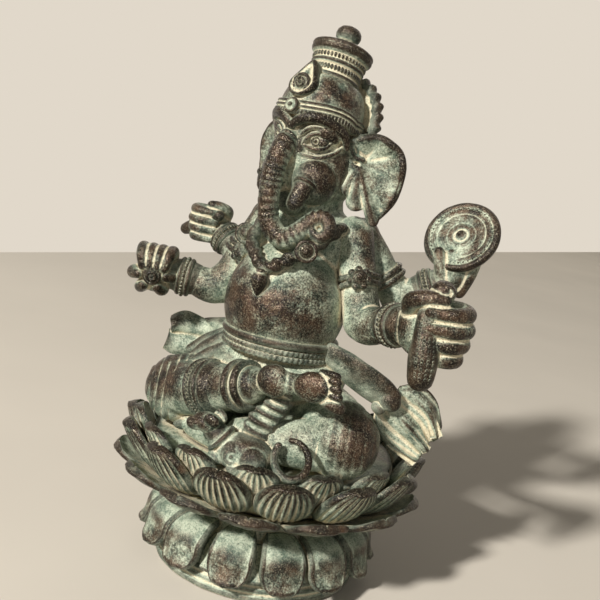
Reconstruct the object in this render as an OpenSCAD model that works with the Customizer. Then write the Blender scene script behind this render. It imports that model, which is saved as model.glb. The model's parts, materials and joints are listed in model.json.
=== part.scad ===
// Seated elephant-headed deity on a lotus throne: separate castings that are pinned and bolted together.
// Millimetres, +Z up. The figure faces -Y and its own left side is +X.
// The origin is on the resting face, under the middle of the throne.

/* [Throne] */
// Radius of the foot ring at the floor
foot_r = 48; // [45:0.5:51]
// Height of the foot ring
foot_h = 9; // [7:0.5:12]
// Thickness of the plate that closes the foot
plate_t = 2.5; // [2:0.5:4]
// Radius of the waist between the two blooms
waist_r = 36; // [32:0.5:39]
// Height from the foot ring to the waist
stem_h = 24; // [21:0.5:28]
// Height from the waist to the rim of the bowl
bowl_h = 24; // [21:0.5:28]
// Radius of the rim of the bowl
rim_r = 57; // [54:0.5:60]
// Wall of the hollow throne
throne_wall = 4; // [3:0.5:6]
// Thickness of the web that carries the clamping nut
web_t = 5; // [4:0.5:8]
// Thickness of the seat disc
seat_t = 3; // [2:0.5:5]

/* [Petals] */
// Petals in each row
petal_count = 14; // [12:1:16]
// Thickness of a petal at its middle
petal_t = 3; // [2:0.5:4]
// Half width of a main petal
petal_w = 13.5; // [11:0.5:14.5]
// How far the main petals lean out past the rim
petal_lean = 13; // [10:0.5:17]
// How far the main petals rise above the rim
petal_rise = 6.5; // [4:0.5:10]
// Ribs along each main petal
petal_ribs = 9; // [5:2:9]
// Height of a rib on a main petal
rib_h = 1.2; // [0.6:0.1:1.4]
// Turn of the bloom about its axis, so that one main petal stands near the front
bloom_turn = 6.5; // [0:0.5:12]

/* [Body] */
// Radius of the belly across
belly_r = 27; // [24:0.5:30]
// Height of the middle of the belly above the seat
belly_z = 68; // [64:0.5:72]
// How far the middle of the belly stands forward
belly_y = 15; // [12:0.5:18]
// Half width of the chest
chest_r = 25; // [22:0.5:28]
// Height of the neck joint above the seat
neck_z = 106; // [102:0.5:110]
// Radius of the hips
hip_r = 30; // [27:0.5:33]

/* [Legs] */
// Distance of each knee from the middle
knee_x = 44; // [40:0.5:48]
// How far the knees stand forward
knee_y = 26; // [22:0.5:30]
// Radius of a knee
knee_r = 16; // [14:0.5:18]
// Radius of a shin
shin_r = 11; // [9:0.5:13]
// Length of a foot
foot_l = 36; // [32:0.5:40]

/* [Arms] */
// Distance of each shoulder from the middle
shoulder_x = 21; // [19:0.5:24]
// Height of the shoulders above the seat
shoulder_z = 101; // [97:0.5:105]
// Radius of an upper arm
arm_r = 7.5; // [6:0.25:9]
// Radius of a wrist
wrist_r = 7; // [6:0.25:8.5]
// Length of a bracelet along the arm
bracelet_l = 5; // [4:0.5:7]
// Half size of the large front left hand
hand_r = 16; // [13:0.5:18]

/* [Head] */
// Turn of the head towards the figure's right
head_turn = 13; // [0:1:30]
// Half width of the head
head_r = 19; // [17:0.5:22]
// Height of the head from the neck joint to the headband
head_h = 41; // [38:0.5:45]
// Radius of the trunk at its root
trunk_r = 5; // [4:0.25:6.5]
// Height of an ear
ear_h = 39; // [34:0.5:44]
// Reach of an ear from the middle of the head
ear_w = 38; // [34:0.5:42]

/* [Crown] */
// How far the crown leans back
crown_lean = 15; // [0:1:18]
// Radius of the headband
band_r = 20; // [18:0.5:23]
// Height of the headband
band_h = 5; // [4:0.5:7]
// Height of the crown's dome
dome_h = 17; // [14:0.5:20]
// Radius of the crown's upper tier
tier_r = 13.5; // [11:0.5:16]
// Height of the crown's upper tier
tier_h = 16.5; // [12:0.5:19]
// Height of the finial
finial_h = 10; // [9:0.5:14]
// Radius of the aureole behind the crown
aureole_r = 21.5; // [20:0.5:26]

/* [Attributes] */
// Radius of the disc in the rear left hand
disc_r = 17; // [14:0.5:19]
// Thickness of the disc
disc_t = 5; // [4:0.5:8]
// Length of the club in the front left hand
club_l = 38; // [34:0.5:44]
// Radius of the club at its thick end
club_r = 6; // [5:0.25:7.5]

/* [Hardware] */
// Radius of the stud that clamps the figure down
stud_r = 4; // [3:0.25:5]
// Width across the flats of the clamping nut
nut_flats = 13; // [11:0.5:16]
// Height of the clamping nut
nut_h = 6.5; // [5:0.5:8]
// Thickness of the washer
washer_t = 1.6; // [1:0.1:2.5]
// Radius of the dowel pins at the joints
pin_r = 2; // [1.5:0.25:2.5]
// Gap at every joint face
joint_gap = 0.2; // [0.1:0.05:0.3]

/* [Hidden] */
$fn = 48;

bronze = "#4a443c";
verdigris = "#8a9a80";
steel = "#9a9ca0";

// Heights of the throne, from the floor up
waist_z = foot_h + stem_h;
rim_z = waist_z + bowl_h;
seat_z = rim_z + seat_t;
stem_r = foot_r - throne_wall;
petal_step = 360 / petal_count;

// Places on the figure
neck_top = seat_z + neck_z;
band_z = neck_top + head_h;
tier_z = band_h + dome_h;
finial_z = tier_z + tier_h;
belly_at = [0, -belly_y, seat_z + belly_z];
left_knee = [knee_x, -knee_y, seat_z + knee_r + 1];
right_knee = [-knee_x, -knee_y, seat_z + knee_r + 1];
head_x = -1;
head_y = -4;
crown_y = -7;
crown_z = band_z - 3.5;
shoulder = [shoulder_x, -3, seat_z + shoulder_z];
left_elbow = [shoulder_x + 15, -12, seat_z + shoulder_z - 34];
left_wrist = [shoulder_x + 31, -22, seat_z + shoulder_z - 30];
right_elbow = [shoulder_x + 15, -10, seat_z + shoulder_z - 35];
right_wrist = [shoulder_x + 29, -16, seat_z + shoulder_z - 34];
rear_shoulder = [shoulder_x, 7, seat_z + shoulder_z];
rear_elbow = [shoulder_x + 19, 16, seat_z + shoulder_z - 24];
rear_wrist = [shoulder_x + 30, 18, seat_z + shoulder_z - 18];
right_hand_r = hand_r * 0.8;
rear_hand_r = hand_r * 0.63;

// The middle of a hand that follows its bracelet
function palm(b, c, r) = c + unit(c - b) * (bracelet_l + r * 0.85);
left_palm = palm(left_elbow, left_wrist, hand_r);
right_palm = palm(right_elbow, right_wrist, right_hand_r);
rear_palm = palm(rear_elbow, rear_wrist, rear_hand_r);

// Helpers
function unit(v) = v / norm(v);
function xyz(s) = [s[0], s[1], s[2]];
function flip(v) = [-v[0], v[1], v[2]];

// Point at u on a smooth curve through the points p, and n + 1 points along it
function curve_at(p, u) = let(n = len(p), i = min(floor(u), n - 2), t = u - i,
    a = p[max(i - 1, 0)], b = p[i], c = p[i + 1], d = p[min(i + 2, n - 1)])
    0.5 * (2 * b + (c - a) * t + (2 * a - 5 * b + 4 * c - d) * t * t + (3 * b - a - 3 * c + d) * t * t * t);
function curve(p, n) = [for (k = [0:n]) curve_at(p, k * (len(p) - 1) / n)];

// Rings of an oval tube along stations [x, y, z, half width, half depth]
function oval(c, side, lift, ra, rb, n) =
    [for (k = [0:n - 1]) c + side * ra * cos(360 * k / n) + lift * rb * sin(360 * k / n)];
function tube_rings(st, n, ref) = [for (i = [0:len(st) - 1])
    let(t = unit(xyz(st[min(i + 1, len(st) - 1)]) - xyz(st[max(i - 1, 0)])),
        side = unit(cross(ref, t)), lift = cross(t, side))
    oval(xyz(st[i]), side, lift, st[i][3], st[i][4], n)];

// Closed skin over a list of rings that have the same number of points
module loft(rings) {
    n = len(rings[0]);
    m = len(rings);
    last = (m - 1) * n;
    polyhedron(
        points = [for (r = rings) each r],
        faces = concat(
            [for (k = [1:n - 2]) [0, k, k + 1]],
            [for (i = [0:m - 2]) for (k = [0:n - 1])
                each let(a = i * n + k, b = i * n + (k + 1) % n, c = b + n, d = a + n) [[a, d, c],
                    [a, c, b]]],
            [for (k = [1:n - 2]) [last, last + k + 1, last + k]]));
}

module tube(points, steps, sides, ref) {
    loft(tube_rings(curve(points, steps), sides, ref));
}

// Facets for a round form of this radius
function facets(r) = max(14, min(30, 2 * round(r)));

module ball(at, r, turn = [0, 0, 0]) {
    translate(at) rotate(turn) scale(r) sphere(1, $fn = facets(min(r)));
}

// An egg between two points, with its own half length past both
module egg(a, b, r, past) {
    d = b - a;
    half = norm(d) / 2 + past;
    translate((a + b) / 2)
        rotate([0, acos(d[2] / norm(d)), atan2(d[1], d[0])])
            scale([r, r, half]) sphere(1, $fn = facets(r));
}

// A round rod or ring along a line: axis from a to b
module along(a, b) {
    d = b - a;
    translate(a) rotate([0, acos(d[2] / norm(d)), atan2(d[1], d[0])]) children();
}

module left_right(side) {
    mirror([side < 0 ? 1 : 0, 0, 0]) children();
}

// Throne
function core_r(z) = z < waist_z
    ? waist_r + (stem_r - waist_r) * (1 - sin(90 * (z - foot_h) / stem_h))
    : waist_r + (rim_r - waist_r) * sin(90 * (z - waist_z) / bowl_h);
core_steps = 16;
core_z = [for (k = [0:core_steps]) foot_h + (rim_z - foot_h) * k / core_steps];

module base_plate() {
    color(verdigris) cylinder(r = foot_r - throne_wall - joint_gap, h = plate_t);
}

module foot_ring() {
    step = foot_h / 6;
    color(verdigris) rotate_extrude() polygon([
        [foot_r - throne_wall, 0], [foot_r, 0], [foot_r, 2 * step], [foot_r - step, 2.4 * step],
        [foot_r - step, 3.6 * step], [foot_r - 0.4 * step, 4 * step], [foot_r - 0.4 * step, 5 * step],
        [stem_r + step, foot_h], [stem_r - throne_wall, foot_h],
        [stem_r - throne_wall, plate_t + joint_gap],
        [foot_r - throne_wall, plate_t + joint_gap]]);
}

module throne_core() {
    color(verdigris) difference() {
        union() {
            rotate_extrude() polygon(concat(
                [for (z = core_z) [core_r(z), z + joint_gap * (rim_z - z) / (rim_z - foot_h)]],
                [for (k = [core_steps:-1:0]) [core_r(core_z[k]) - throne_wall,
                    core_z[k] + joint_gap * (rim_z - core_z[k]) / (rim_z - foot_h)]]));
            translate([0, 0, waist_z - web_t / 2]) cylinder(r = waist_r - throne_wall / 2, h = web_t);
        }
        translate([0, 0, waist_z - web_t]) cylinder(r = stud_r + joint_gap, h = 2 * web_t);
    }
}

module seat_plate() {
    color(verdigris) difference() {
        translate([0, 0, rim_z + joint_gap]) cylinder(r = rim_r - 1, h = seat_t - joint_gap);
        translate([0, 0, rim_z - 1]) cylinder(r = stud_r + joint_gap, h = seat_t + 2);
    }
}

// Points [place, skin, rib] across a petal, from the middle of its back round the left edge:
// place runs from -1 to 1, skin is 1 on the front and -1 on the back, rib is 1 on a ridge
function petal_across(ribs) = concat(
    [[0, -1, 0], [-0.5, -1, 0], [-1, 0, 0]],
    ribs == 0
        ? [[-0.5, 1, 0], [0, 1, 0], [0.5, 1, 0]]
        : [for (k = [1:2 * ribs - 1]) [k / ribs - 1, min(1, 2 - 2 * abs(k / ribs - 1)), k % 2]],
    [[1, 0, 0], [0.5, -1, 0]]);

// A petal: stations [radius, height, half width] from root to tip, lens-shaped across,
// wrapped round the axis; the ribs fade out at the root, the tip and the edges
function petal_ring(st, i, cup, ribs) =
    let(a = st[max(i - 1, 0)], b = st[min(i + 1, len(st) - 1)], run = unit([b[0] - a[0], b[1] - a[1]]),
        out = [run[1], -run[0]], s = st[i], fade = sin(180 * i / (len(st) - 1)))
    [for (q = petal_across(ribs))
        let(half = petal_t / 2 * q[1] * (1 - 0.3 * abs(q[0])),
            rib = rib_h * q[2] * fade * (1 - pow(q[0], 4)),
            lift = half + rib - cup * q[0] * q[0],
            w = q[0] * s[2] / s[0] * 180 / PI,
            r = s[0] + lift * out[0])
        [r * sin(w), -r * cos(w), s[1] + lift * out[1]]];

module petal_row(stations, cup, shift, ribs = 0) {
    st = curve(stations, 5);
    rings = [for (i = [0:len(st) - 1]) petal_ring(st, i, cup, ribs)];
    for (k = [0:petal_count - 1]) rotate([0, 0, bloom_turn + (k + shift) * petal_step]) loft(rings);
}

function root_r(z) = core_r(z) + petal_t / 2 + 2 * joint_gap;
lower_w = petal_w * 0.75;
hang_r = foot_r + 1.4 * petal_t;

module lower_petals_front() {
    z = waist_z - 5;
    color(verdigris) petal_row([
        [core_r(z - petal_t / 2) + joint_gap, z, lower_w * 0.6], [root_r(z) + 7, z - 1, lower_w],
        [hang_r, z - 6, lower_w * 1.05],
        [hang_r + 0.5, foot_h + 6, lower_w * 0.95], [hang_r + 2, foot_h + 0.5, lower_w * 0.3]], 1.5, 0.25);
}

module lower_petals_back() {
    z = waist_z - 10;
    color(bronze) petal_row([
        [root_r(z), z, lower_w * 0.4], [root_r(z) + 3, z - 3, lower_w * 0.5],
        [foot_r - 1, foot_h + 5, lower_w * 0.5], [foot_r + 1, foot_h + 1.8, lower_w * 0.2]], 0.5, 0.75);
}

module bloom_petals_outer() {
    z = waist_z + bowl_h / 6;
    reach = rim_r + petal_lean;
    color(bronze) petal_row([
        [root_r(z) + 0.8, z, petal_w * 0.5], [root_r(z) + 9, z + 1.5, petal_w * 0.85],
        [reach - 8, z + 5, petal_w * 0.95],
        [reach - 1, z + 8, petal_w * 0.7], [reach + 2, z + 10, petal_w * 0.15]], 1.5, 0.5);
}

module bloom_petals_main() {
    z = waist_z + bowl_h * 0.4;
    color(bronze) petal_row([
        [root_r(z) + 1.5, z, petal_w * 0.65], [root_r(z) + 8, z + 4.5, petal_w * 0.86],
        [rim_r + petal_lean * 0.55, rim_z - 3, petal_w],
        [rim_r + petal_lean * 0.85, rim_z + petal_rise * 0.45, petal_w * 0.75],
        [rim_r + petal_lean, rim_z + petal_rise, petal_w * 0.15]], 2, 0, petal_ribs);
}

module bloom_petals_inner() {
    z = rim_z - 4;
    color(bronze) petal_row([
        [root_r(z), z, petal_w * 0.5], [root_r(z) + 2, z + 4, petal_w * 0.8],
        [root_r(z) + 4, z + 8, petal_w * 0.8], [root_r(z) + 5.5, z + 11.5, petal_w * 0.55],
        [root_r(z) + 6.5, z + 14, petal_w * 0.12]], 1.5, 0.5);
}

// Hardware inside the throne and at the joints
stud_low = waist_z - web_t / 2 - washer_t - nut_h - 4;
stud_high = seat_z + 20;

module clamp_stud() {
    color(steel) translate([0, 0, stud_low]) cylinder(r = stud_r, h = stud_high - stud_low);
}

module clamp_washer() {
    color(steel) translate([0, 0, waist_z - web_t / 2 - washer_t]) difference() {
        cylinder(r = stud_r + 5, h = washer_t);
        translate([0, 0, -1]) cylinder(r = stud_r + joint_gap, h = washer_t + 2);
    }
}

module clamp_nut() {
    color(steel) translate([0, 0, waist_z - web_t / 2 - washer_t - nut_h]) difference() {
        cylinder(r = nut_flats / sqrt(3), h = nut_h, $fn = 6);
        translate([0, 0, -1]) cylinder(r = stud_r + joint_gap / 4, h = nut_h + 2);
    }
}

// Torso: hips, belly and chest in one casting
module torso_form(g = 0) {
    ball([0, -2, seat_z + 24], [hip_r + g, 24 + g, 26 + g]);
    ball(belly_at, [belly_r + g, belly_r + 1 + g, belly_r + g]);
    ball([0, -3, seat_z + shoulder_z - 8], [chest_r + g, 17 + g, 21 + g]);
}

module torso() {
    color(bronze) difference() {
        torso_form();
        below_seat();
        translate([-100, -100, neck_top]) cube([200, 200, 100]);
        translate([0, 0, seat_z - 1]) cylinder(r = stud_r + joint_gap, h = stud_high - seat_z + 2);
        neck_pin(joint_gap / 4);
    }
}

module neck_pin(g = 0) {
    translate([0, head_y, neck_top - 8]) cylinder(r = pin_r + g, h = 16);
}

module crown_pin(g = 0) {
    on_crown() translate([0, 0, -8]) cylinder(r = pin_r + g, h = finial_z + 13);
}

module dowel_pins() {
    color(steel) {
        neck_pin();
        crown_pin();
    }
}

// Legs, crossed, the right shin over the left
module leg_form(knee, hip, ankle, g = 0) {
    egg(hip, knee, knee_r + 1 + g, knee_r * 0.75 + g);
    egg(knee, ankle, shin_r + g, shin_r * 0.6 + g);
}

module left_leg_form(g = 0) {
    leg_form(left_knee, [14, 0, seat_z + 17], [4, -knee_y - 14, seat_z + shin_r + 1], g);
}

module right_leg_form(g = 0) {
    leg_form(right_knee, [-14, 0, seat_z + 17], [4, -knee_y - 14, seat_z + 34], g);
}

module below_seat() {
    translate([-100, -100, seat_z + joint_gap - 100]) cube([200, 200, 100]);
}

module left_leg() {
    color(bronze) difference() {
        left_leg_form();
        torso_form(joint_gap);
        below_seat();
    }
}

module right_leg() {
    color(bronze) difference() {
        right_leg_form();
        torso_form(joint_gap);
        left_leg_form(joint_gap);
        below_seat();
    }
}

module foot_form(heel, toe) {
    d = unit(toe - heel);
    egg(heel, heel + d * foot_l * 0.45, 7, 4);
    egg(heel + d * foot_l * 0.45, heel + d * foot_l * 0.85, 6.5, 5);
    for (k = [0:4]) {
        r = k == 0 ? 3 : 2.4;
        ball(heel + d * (foot_l - k) + [0, -3 + k * 0.5, -6 + k * 3.2], [4, r, r]);
    }
}

module right_foot() {
    color(bronze) difference() {
        foot_form([10, -knee_y - 17, seat_z + 41], [46, -knee_y - 20, seat_z + 45]);
        right_leg_form(joint_gap);
        left_leg_form(joint_gap);
        torso_form(joint_gap);
    }
}

module left_foot() {
    y = -knee_y - 12;
    z = seat_z + 6.5;
    color(bronze) difference() {
        tube([[6, y, z + 1, 5, 5.5], [-foot_l * 0.25, y, z, 6, 6], [-foot_l * 0.55, y + 3, z, 5.5, 6.5],
            [-foot_l * 0.8, y + 6, z - 0.5, 4, 5.5], [-foot_l * 0.92, y + 8, z - 1, 2.5, 4]],
            8, 12, [0, 0, 1]);
        right_leg_form(joint_gap);
        left_leg_form(joint_gap);
        mouse_form(joint_gap);
        below_seat();
    }
}

// Head, set on its own upright axis and turned to the figure's right
module turned() {
    translate([head_x, head_y, 0]) rotate([0, 0, -head_turn]) children();
}

module head_form(g = 0) {
    turned() {
        ball([0, -2, band_z - 17], [head_r + g, 20 + g, 23 + g]);
        ball([0, -15, band_z - 10], [9 + g, 9 + g, 11 + g]);
        for (s = [-1, 1]) ball([s * 8.5, -13, band_z - 24], [10.5 + g, 11 + g, 13 + g]);
    }
}

// The crown stands on its own axis, which leans back
module on_crown() {
    turned() translate([0, crown_y, crown_z]) rotate([-crown_lean, 0, 0]) children();
}

module head() {
    color(bronze) difference() {
        union() {
            head_form();
            translate([0, head_y, neck_top]) cylinder(r1 = 13, r2 = 12, h = 14);
        }
        on_crown() translate([-100, -100, 0]) cube([200, 200, 100]);
        translate([-100, -100, neck_top + joint_gap - 100]) cube([200, 200, 100]);
        neck_pin(joint_gap / 4);
        crown_pin(joint_gap / 4);
    }
}

trunk_path = [
    [0, -22, band_z - 5, trunk_r * 1.1, trunk_r], [0, -27, band_z - 13, trunk_r, trunk_r],
    [0, -29.5, band_z - 24, trunk_r * 0.9, trunk_r * 0.9],
    [0, -29.5, band_z - 36, trunk_r * 0.85, trunk_r * 0.85],
    [2, -28, band_z - 46, trunk_r * 0.85, trunk_r * 0.85],
    [8, -26, band_z - 50, trunk_r * 0.85, trunk_r * 0.85],
    [14, -23, band_z - 45, trunk_r * 0.8, trunk_r * 0.8],
    [18, -20, band_z - 39, trunk_r * 0.75, trunk_r * 0.75],
    [23, -18, band_z - 40, trunk_r * 0.7, trunk_r * 0.7],
    [24, -19, band_z - 45, trunk_r * 0.6, trunk_r * 0.6]];

module trunk_form() {
    turned() tube(trunk_path, 27, 12, [0.5, 0.8, 0.2]);
}

module trunk() {
    color(bronze) difference() {
        trunk_form();
        head_form(joint_gap);
        torso_form(joint_gap);
    }
}

module tusk(side) {
    root = [side * 10, -18, band_z - 26];
    color(bronze) difference() {
        turned() tube([concat(root, [3.8, 3.8]), concat(root + [side, -6, -2], [3.6, 3.6]),
            concat(root + [side * 2, -11, -5], [2.6, 2.6])], 6, 12, [1, 0, 0]);
        head_form(joint_gap);
    }
}

// Ear: a fan from the side of the head that sweeps back, with a rolled fold across its middle
ear_low = ear_h / 39;
ear_rim = [
    [17, -2, -4], [22, 1, -1], [29, 5, -1.5], [ear_w - 2.5, 9, -7], [ear_w, 10, -14],
    [ear_w - 2, 9.5, -23 * ear_low],
    [ear_w - 5, 8, -33 * ear_low], [ear_w - 8, 7, -1.5 - ear_h], [26, 4, -36 * ear_low],
    [21, 1, -33 * ear_low],
    [17, -2, -31 * ear_low]];

module ear(side) {
    lift = [0, 0, band_z];
    root = [16, -2, band_z - 16];
    sweep = side > 0 ? 1 : 0.3;
    rim = [for (p = curve(ear_rim, 20)) [p[0], p[1] * sweep, p[2]] + lift];
    fold = [for (p = rim) root * 0.45 + p * 0.55 + [0, -3, 0]];
    color(verdigris) difference() {
        turned() left_right(side) ear_shell(root, fold, rim, 1.3);
        head_form(joint_gap);
        on_crown() cylinder(r = band_r + joint_gap, h = tier_z);
        torso_form(joint_gap);
    }
}

module ear_shell(root, fold, rim, t) {
    m = len(rim);
    front = concat([root + [0, -2, 0]], fold, rim);
    back = [for (p = front) p + [0, 2 * t, 0]];
    n = len(front);
    f = 1;
    r = 1 + m;
    skin = concat(
        [for (k = [0:m - 2]) [0, f + k, f + k + 1]],
        [for (k = [0:m - 2]) each [[f + k, r + k, r + k + 1], [f + k, r + k + 1, f + k + 1]]]);
    open_edge = concat([0], [f], [for (k = [0:m - 1]) r + k], [f + m - 1]);
    polyhedron(points = concat(front, back), faces = concat(
        skin,
        [for (s = skin) [s[0] + n, s[2] + n, s[1] + n]],
        [for (k = [0:len(open_edge) - 1])
            each let(p = open_edge[k], q = open_edge[(k + 1) % len(open_edge)]) [[p, p + n, q + n],
                [p, q + n, q]]]));
}

// Crown, turned pieces stacked on a dowel
module headband() {
    color(verdigris) difference() {
        on_crown() translate([0, 0, joint_gap]) rotate_extrude() polygon([
            [0, 0], [band_r - 1, 0], [band_r, 1], [band_r - 0.6, band_h / 2], [band_r, band_h - 1.5],
            [band_r - 1, band_h - joint_gap], [0, band_h - joint_gap]]);
        crown_pin(joint_gap / 4);
    }
}

module dome_form(g = 0) {
    steps = 8;
    base = band_r - 1.5;
    on_crown() translate([0, 0, band_h + joint_gap]) rotate_extrude() polygon(concat([[0, -g]],
        [for (k = [0:steps]) [tier_r - 2 + g + (base - tier_r + 2) * cos(90 * k / steps),
            (dome_h - joint_gap) * sin(90 * k / steps)]], [[0, dome_h - joint_gap]]));
}

module crown_dome() {
    color(bronze) difference() {
        dome_form();
        crown_pin(joint_gap / 4);
    }
}

module crown_jewel() {
    at = [0, 2.5 - band_r, band_h + dome_h * 0.55];
    color(bronze) difference() {
        on_crown() {
            translate(at) rotate([72, 0, 0]) cylinder(r = 6.5, h = 5);
            egg(at + [0, -1.5, 2], at + [0, 3, 13], 4, 2);
        }
        dome_form(joint_gap);
        on_crown() translate([0, 0, band_h - 20]) cylinder(r = band_r + 9, h = 20 + joint_gap);
        on_crown() translate([0, 0, tier_z - 1]) cylinder(r = tier_r + joint_gap, h = 20);
    }
}

module crown_tier() {
    color(verdigris) difference() {
        on_crown() translate([0, 0, tier_z + joint_gap]) rotate_extrude() polygon([
            [0, 0], [tier_r - 2, 0], [tier_r - 1, tier_h * 0.2], [tier_r - 2.2, tier_h * 0.3],
            [tier_r - 2.2, tier_h * 0.5], [tier_r - 0.5, tier_h * 0.58], [tier_r, tier_h * 0.75],
            [tier_r - 1.5, tier_h * 0.95], [tier_r - 4, tier_h - joint_gap], [0, tier_h - joint_gap]]);
        crown_pin(joint_gap / 4);
    }
}

module crown_finial() {
    color(verdigris) difference() {
        on_crown() translate([0, 0, finial_z + joint_gap]) rotate_extrude() polygon(concat(
            [[0, 0], [5.5, 0], [3.8, finial_h * 0.15], [3.4, finial_h * 0.3]],
            [for (k = [0:6]) [5.4 * sin(40 + 140 * k / 6), finial_h * (0.65 - 0.34 * cos(180 * k / 6))]],
            [[0, finial_h * 0.99]]));
        crown_pin(joint_gap / 4);
    }
}

module crown_aureole() {
    ribs = 26;
    color(verdigris) difference() {
        on_crown() translate([0, 14, 10]) rotate([90, 0, 0]) {
            translate([0, 0, -3]) cylinder(r = aureole_r - 1.5, h = 3);
            for (k = [0:ribs - 1]) {
                a = 360 * k / ribs;
                translate([(aureole_r - 1.6) * cos(a), (aureole_r - 1.6) * sin(a), -3.5])
                    cylinder(r = 2.2, h = 4.5, $fn = 16);
            }
        }
        head_form(joint_gap);
        on_crown() cylinder(r = band_r + joint_gap, h = band_h + 0.5);
        dome_form(joint_gap);
        turned() for (s = [-1, 1]) left_right(s) ball([30, 8, band_z - 20], [16, 9, 20]);
    }
}

// Arms
module arm_form(side, a, b, c, g = 0) {
    left_right(side) {
        egg(a, b, arm_r + g, arm_r * 0.6 + g);
        egg(b, c, arm_r + 0.5 + g, arm_r * 0.4 + g);
    }
}

module arm(side, a, b, c) {
    d = unit(c - b);
    color(bronze) difference() {
        arm_form(side, a, b, c);
        torso_form(joint_gap);
        left_right(side) along(c, c + d) cylinder(r = 3 * arm_r, h = 40);
        if (a == rear_shoulder) arm_form(side, shoulder, side > 0 ? left_elbow : right_elbow,
            side > 0 ? left_wrist : right_wrist, joint_gap);
    }
}

module bracelet(side, b, c) {
    d = unit(c - b);
    color(verdigris) left_right(side) along(c + d * joint_gap, c + d) rotate_extrude() polygon([
        [0, 0], [wrist_r, 0], [wrist_r + 1, bracelet_l * 0.2], [wrist_r + 0.4, bracelet_l * 0.5],
        [wrist_r + 1, bracelet_l * 0.8], [wrist_r, bracelet_l], [0, bracelet_l]]);
}

module armlet(side, a, b, share) {
    m = a + (b - a) * share;
    left_right(side) along(m, b) {
        rotate_extrude() translate([arm_r + 1.7, 0]) circle(r = 1.4, $fn = 24);
        translate([arm_r + 1.6, 0, 0]) rotate([0, 90, 0]) cylinder(r = 3.4, h = 2);
    }
}

module armlets() {
    color(bronze) difference() {
        for (s = [-1, 1]) {
            armlet(s, shoulder, s > 0 ? left_elbow : right_elbow, 0.5);
            armlet(s, rear_shoulder, rear_elbow, 0.68);
        }
        torso_form(joint_gap);
    }
}

// Hands: closed fists, a palm with four curled fingers and a thumb
module fist(side, b, c, r) {
    d = unit(c - b);
    at = palm(b, c, r);
    left_right(side) difference() {
        union() {
            hull() {
                ball(at, [r * 0.92, r * 0.75, r]);
                along(c + d * (bracelet_l - 1), at)
                    cylinder(r = min(r * 0.6, wrist_r - 0.5), h = r * 0.6, $fn = 20);
            }
            for (k = [0:3]) hull() ball(at + [r * 0.35, -r * 0.45, r * (0.62 - 0.42 * k)],
                [r * 0.62, r * 0.5, r * 0.24]);
            hull() ball(at + [-r * 0.3, -r * 0.55, r * 0.45], [r * 0.3, r * 0.4, r * 0.6]);
        }
        translate(c + d * (bracelet_l + joint_gap)) rotate([0, acos(d[2]), atan2(d[1], d[0])])
            translate([0, 0, -50]) cylinder(r = 60, h = 50);
    }
}

module front_left_hand() {
    color(bronze) difference() {
        fist(1, left_elbow, left_wrist, hand_r);
        club_form(joint_gap);
    }
}

module front_right_hand() {
    color(bronze) difference() {
        fist(-1, right_elbow, right_wrist, right_hand_r);
        bud_form(joint_gap);
    }
}

module rear_left_hand() {
    color(verdigris) difference() {
        fist(1, rear_elbow, rear_wrist, rear_hand_r);
        disc_form(joint_gap);
    }
}

module rear_right_hand() {
    color(verdigris) difference() {
        fist(-1, rear_elbow, rear_wrist, rear_hand_r);
        goad_form(joint_gap);
    }
}

// What the hands hold
module club_form(g = 0) {
    at = left_palm + [-1, -hand_r * 0.75, 0];
    egg(at + [1, -2, -club_l * 0.32], at + [0, 1, club_l * 0.2], club_r + g, club_l * 0.24 + g);
}

module club() {
    color(verdigris) club_form();
}

module bud_form(g = 0) {
    ball(flip(right_palm) + [-1.5, -right_hand_r * 1.02, -0.6], [4.5 + g, 4.5 + g, 4.5 + g]);
}

module flower_bud() {
    color(bronze) bud_form();
}

disc_at = rear_palm + [0, 2, rear_hand_r * 0.6 + disc_r * 0.8];
disc_tilt = [60, 0, -10];

module disc_form(g = 0) {
    translate(disc_at) rotate(disc_tilt) rotate_extrude() polygon([
        [0, -disc_t * 0.5 - g], [disc_r * 0.9 + g, -disc_t * 0.5 - g], [disc_r + g, 0],
        [disc_r * 0.96 + g, disc_t * 0.5 + g], [0, disc_t * 0.5 + g]]);
    along(rear_palm, disc_at + [0, 3, -6])
        cylinder(r1 = rear_hand_r * 0.45 + g, r2 = disc_r * 0.62 + g, h = disc_r * 0.9);
}

module lotus_disc() {
    color(verdigris) disc_form();
}

module goad_form(g = 0) {
    at = flip(rear_palm);
    egg(at + [-rear_hand_r * 0.9, -4, -3], at + [rear_hand_r * 0.2, -7, 3], 3.2 + g, 4 + g);
}

module goad() {
    color(verdigris) goad_form();
}

// Dress and ornament
module belt_form(g = 0) {
    translate([0, -belly_y + 1, belly_at[2] - 15 - g]) scale([1, 1.05, 1])
        cylinder(r1 = belly_r - 3 + g, r2 = belly_r - 0.5 + g, h = 5 + 2 * g);
}

module waist_belt() {
    color(verdigris) difference() {
        belt_form();
        torso_form(joint_gap);
        left_leg_form(joint_gap);
        right_leg_form(joint_gap);
    }
}

module anklets() {
    color(bronze) difference() {
        along([0, -knee_y - 13, seat_z + 33], right_knee) translate([0, 0, 6])
            rotate_extrude() translate([shin_r - 1, 0]) circle(r = 2, $fn = 24);
        right_leg_form(joint_gap);
        left_leg_form(joint_gap);
        torso_form(joint_gap);
    }
}

module lap_pleats() {
    color(verdigris) difference() {
        tube([[6, -knee_y - 11, seat_z + 34, 4, 3], [9, -knee_y - 17, seat_z + 24, 6, 3.5],
            [12, -knee_y - 20, seat_z + 12, 8, 3.5], [14, -knee_y - 22, seat_z + 3, 9, 2.5]],
            8, 12, [1, 0, 0]);
        left_leg_form(joint_gap);
        right_leg_form(joint_gap);
        torso_form(joint_gap);
        mouse_form(joint_gap);
    }
}

module sash(points) {
    color(verdigris) difference() {
        tube(points, 12, 12, [0, 1, 0.3]);
        torso_form(joint_gap);
        belt_form(joint_gap);
        left_leg_form(joint_gap);
        right_leg_form(joint_gap);
        below_seat();
    }
}

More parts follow.
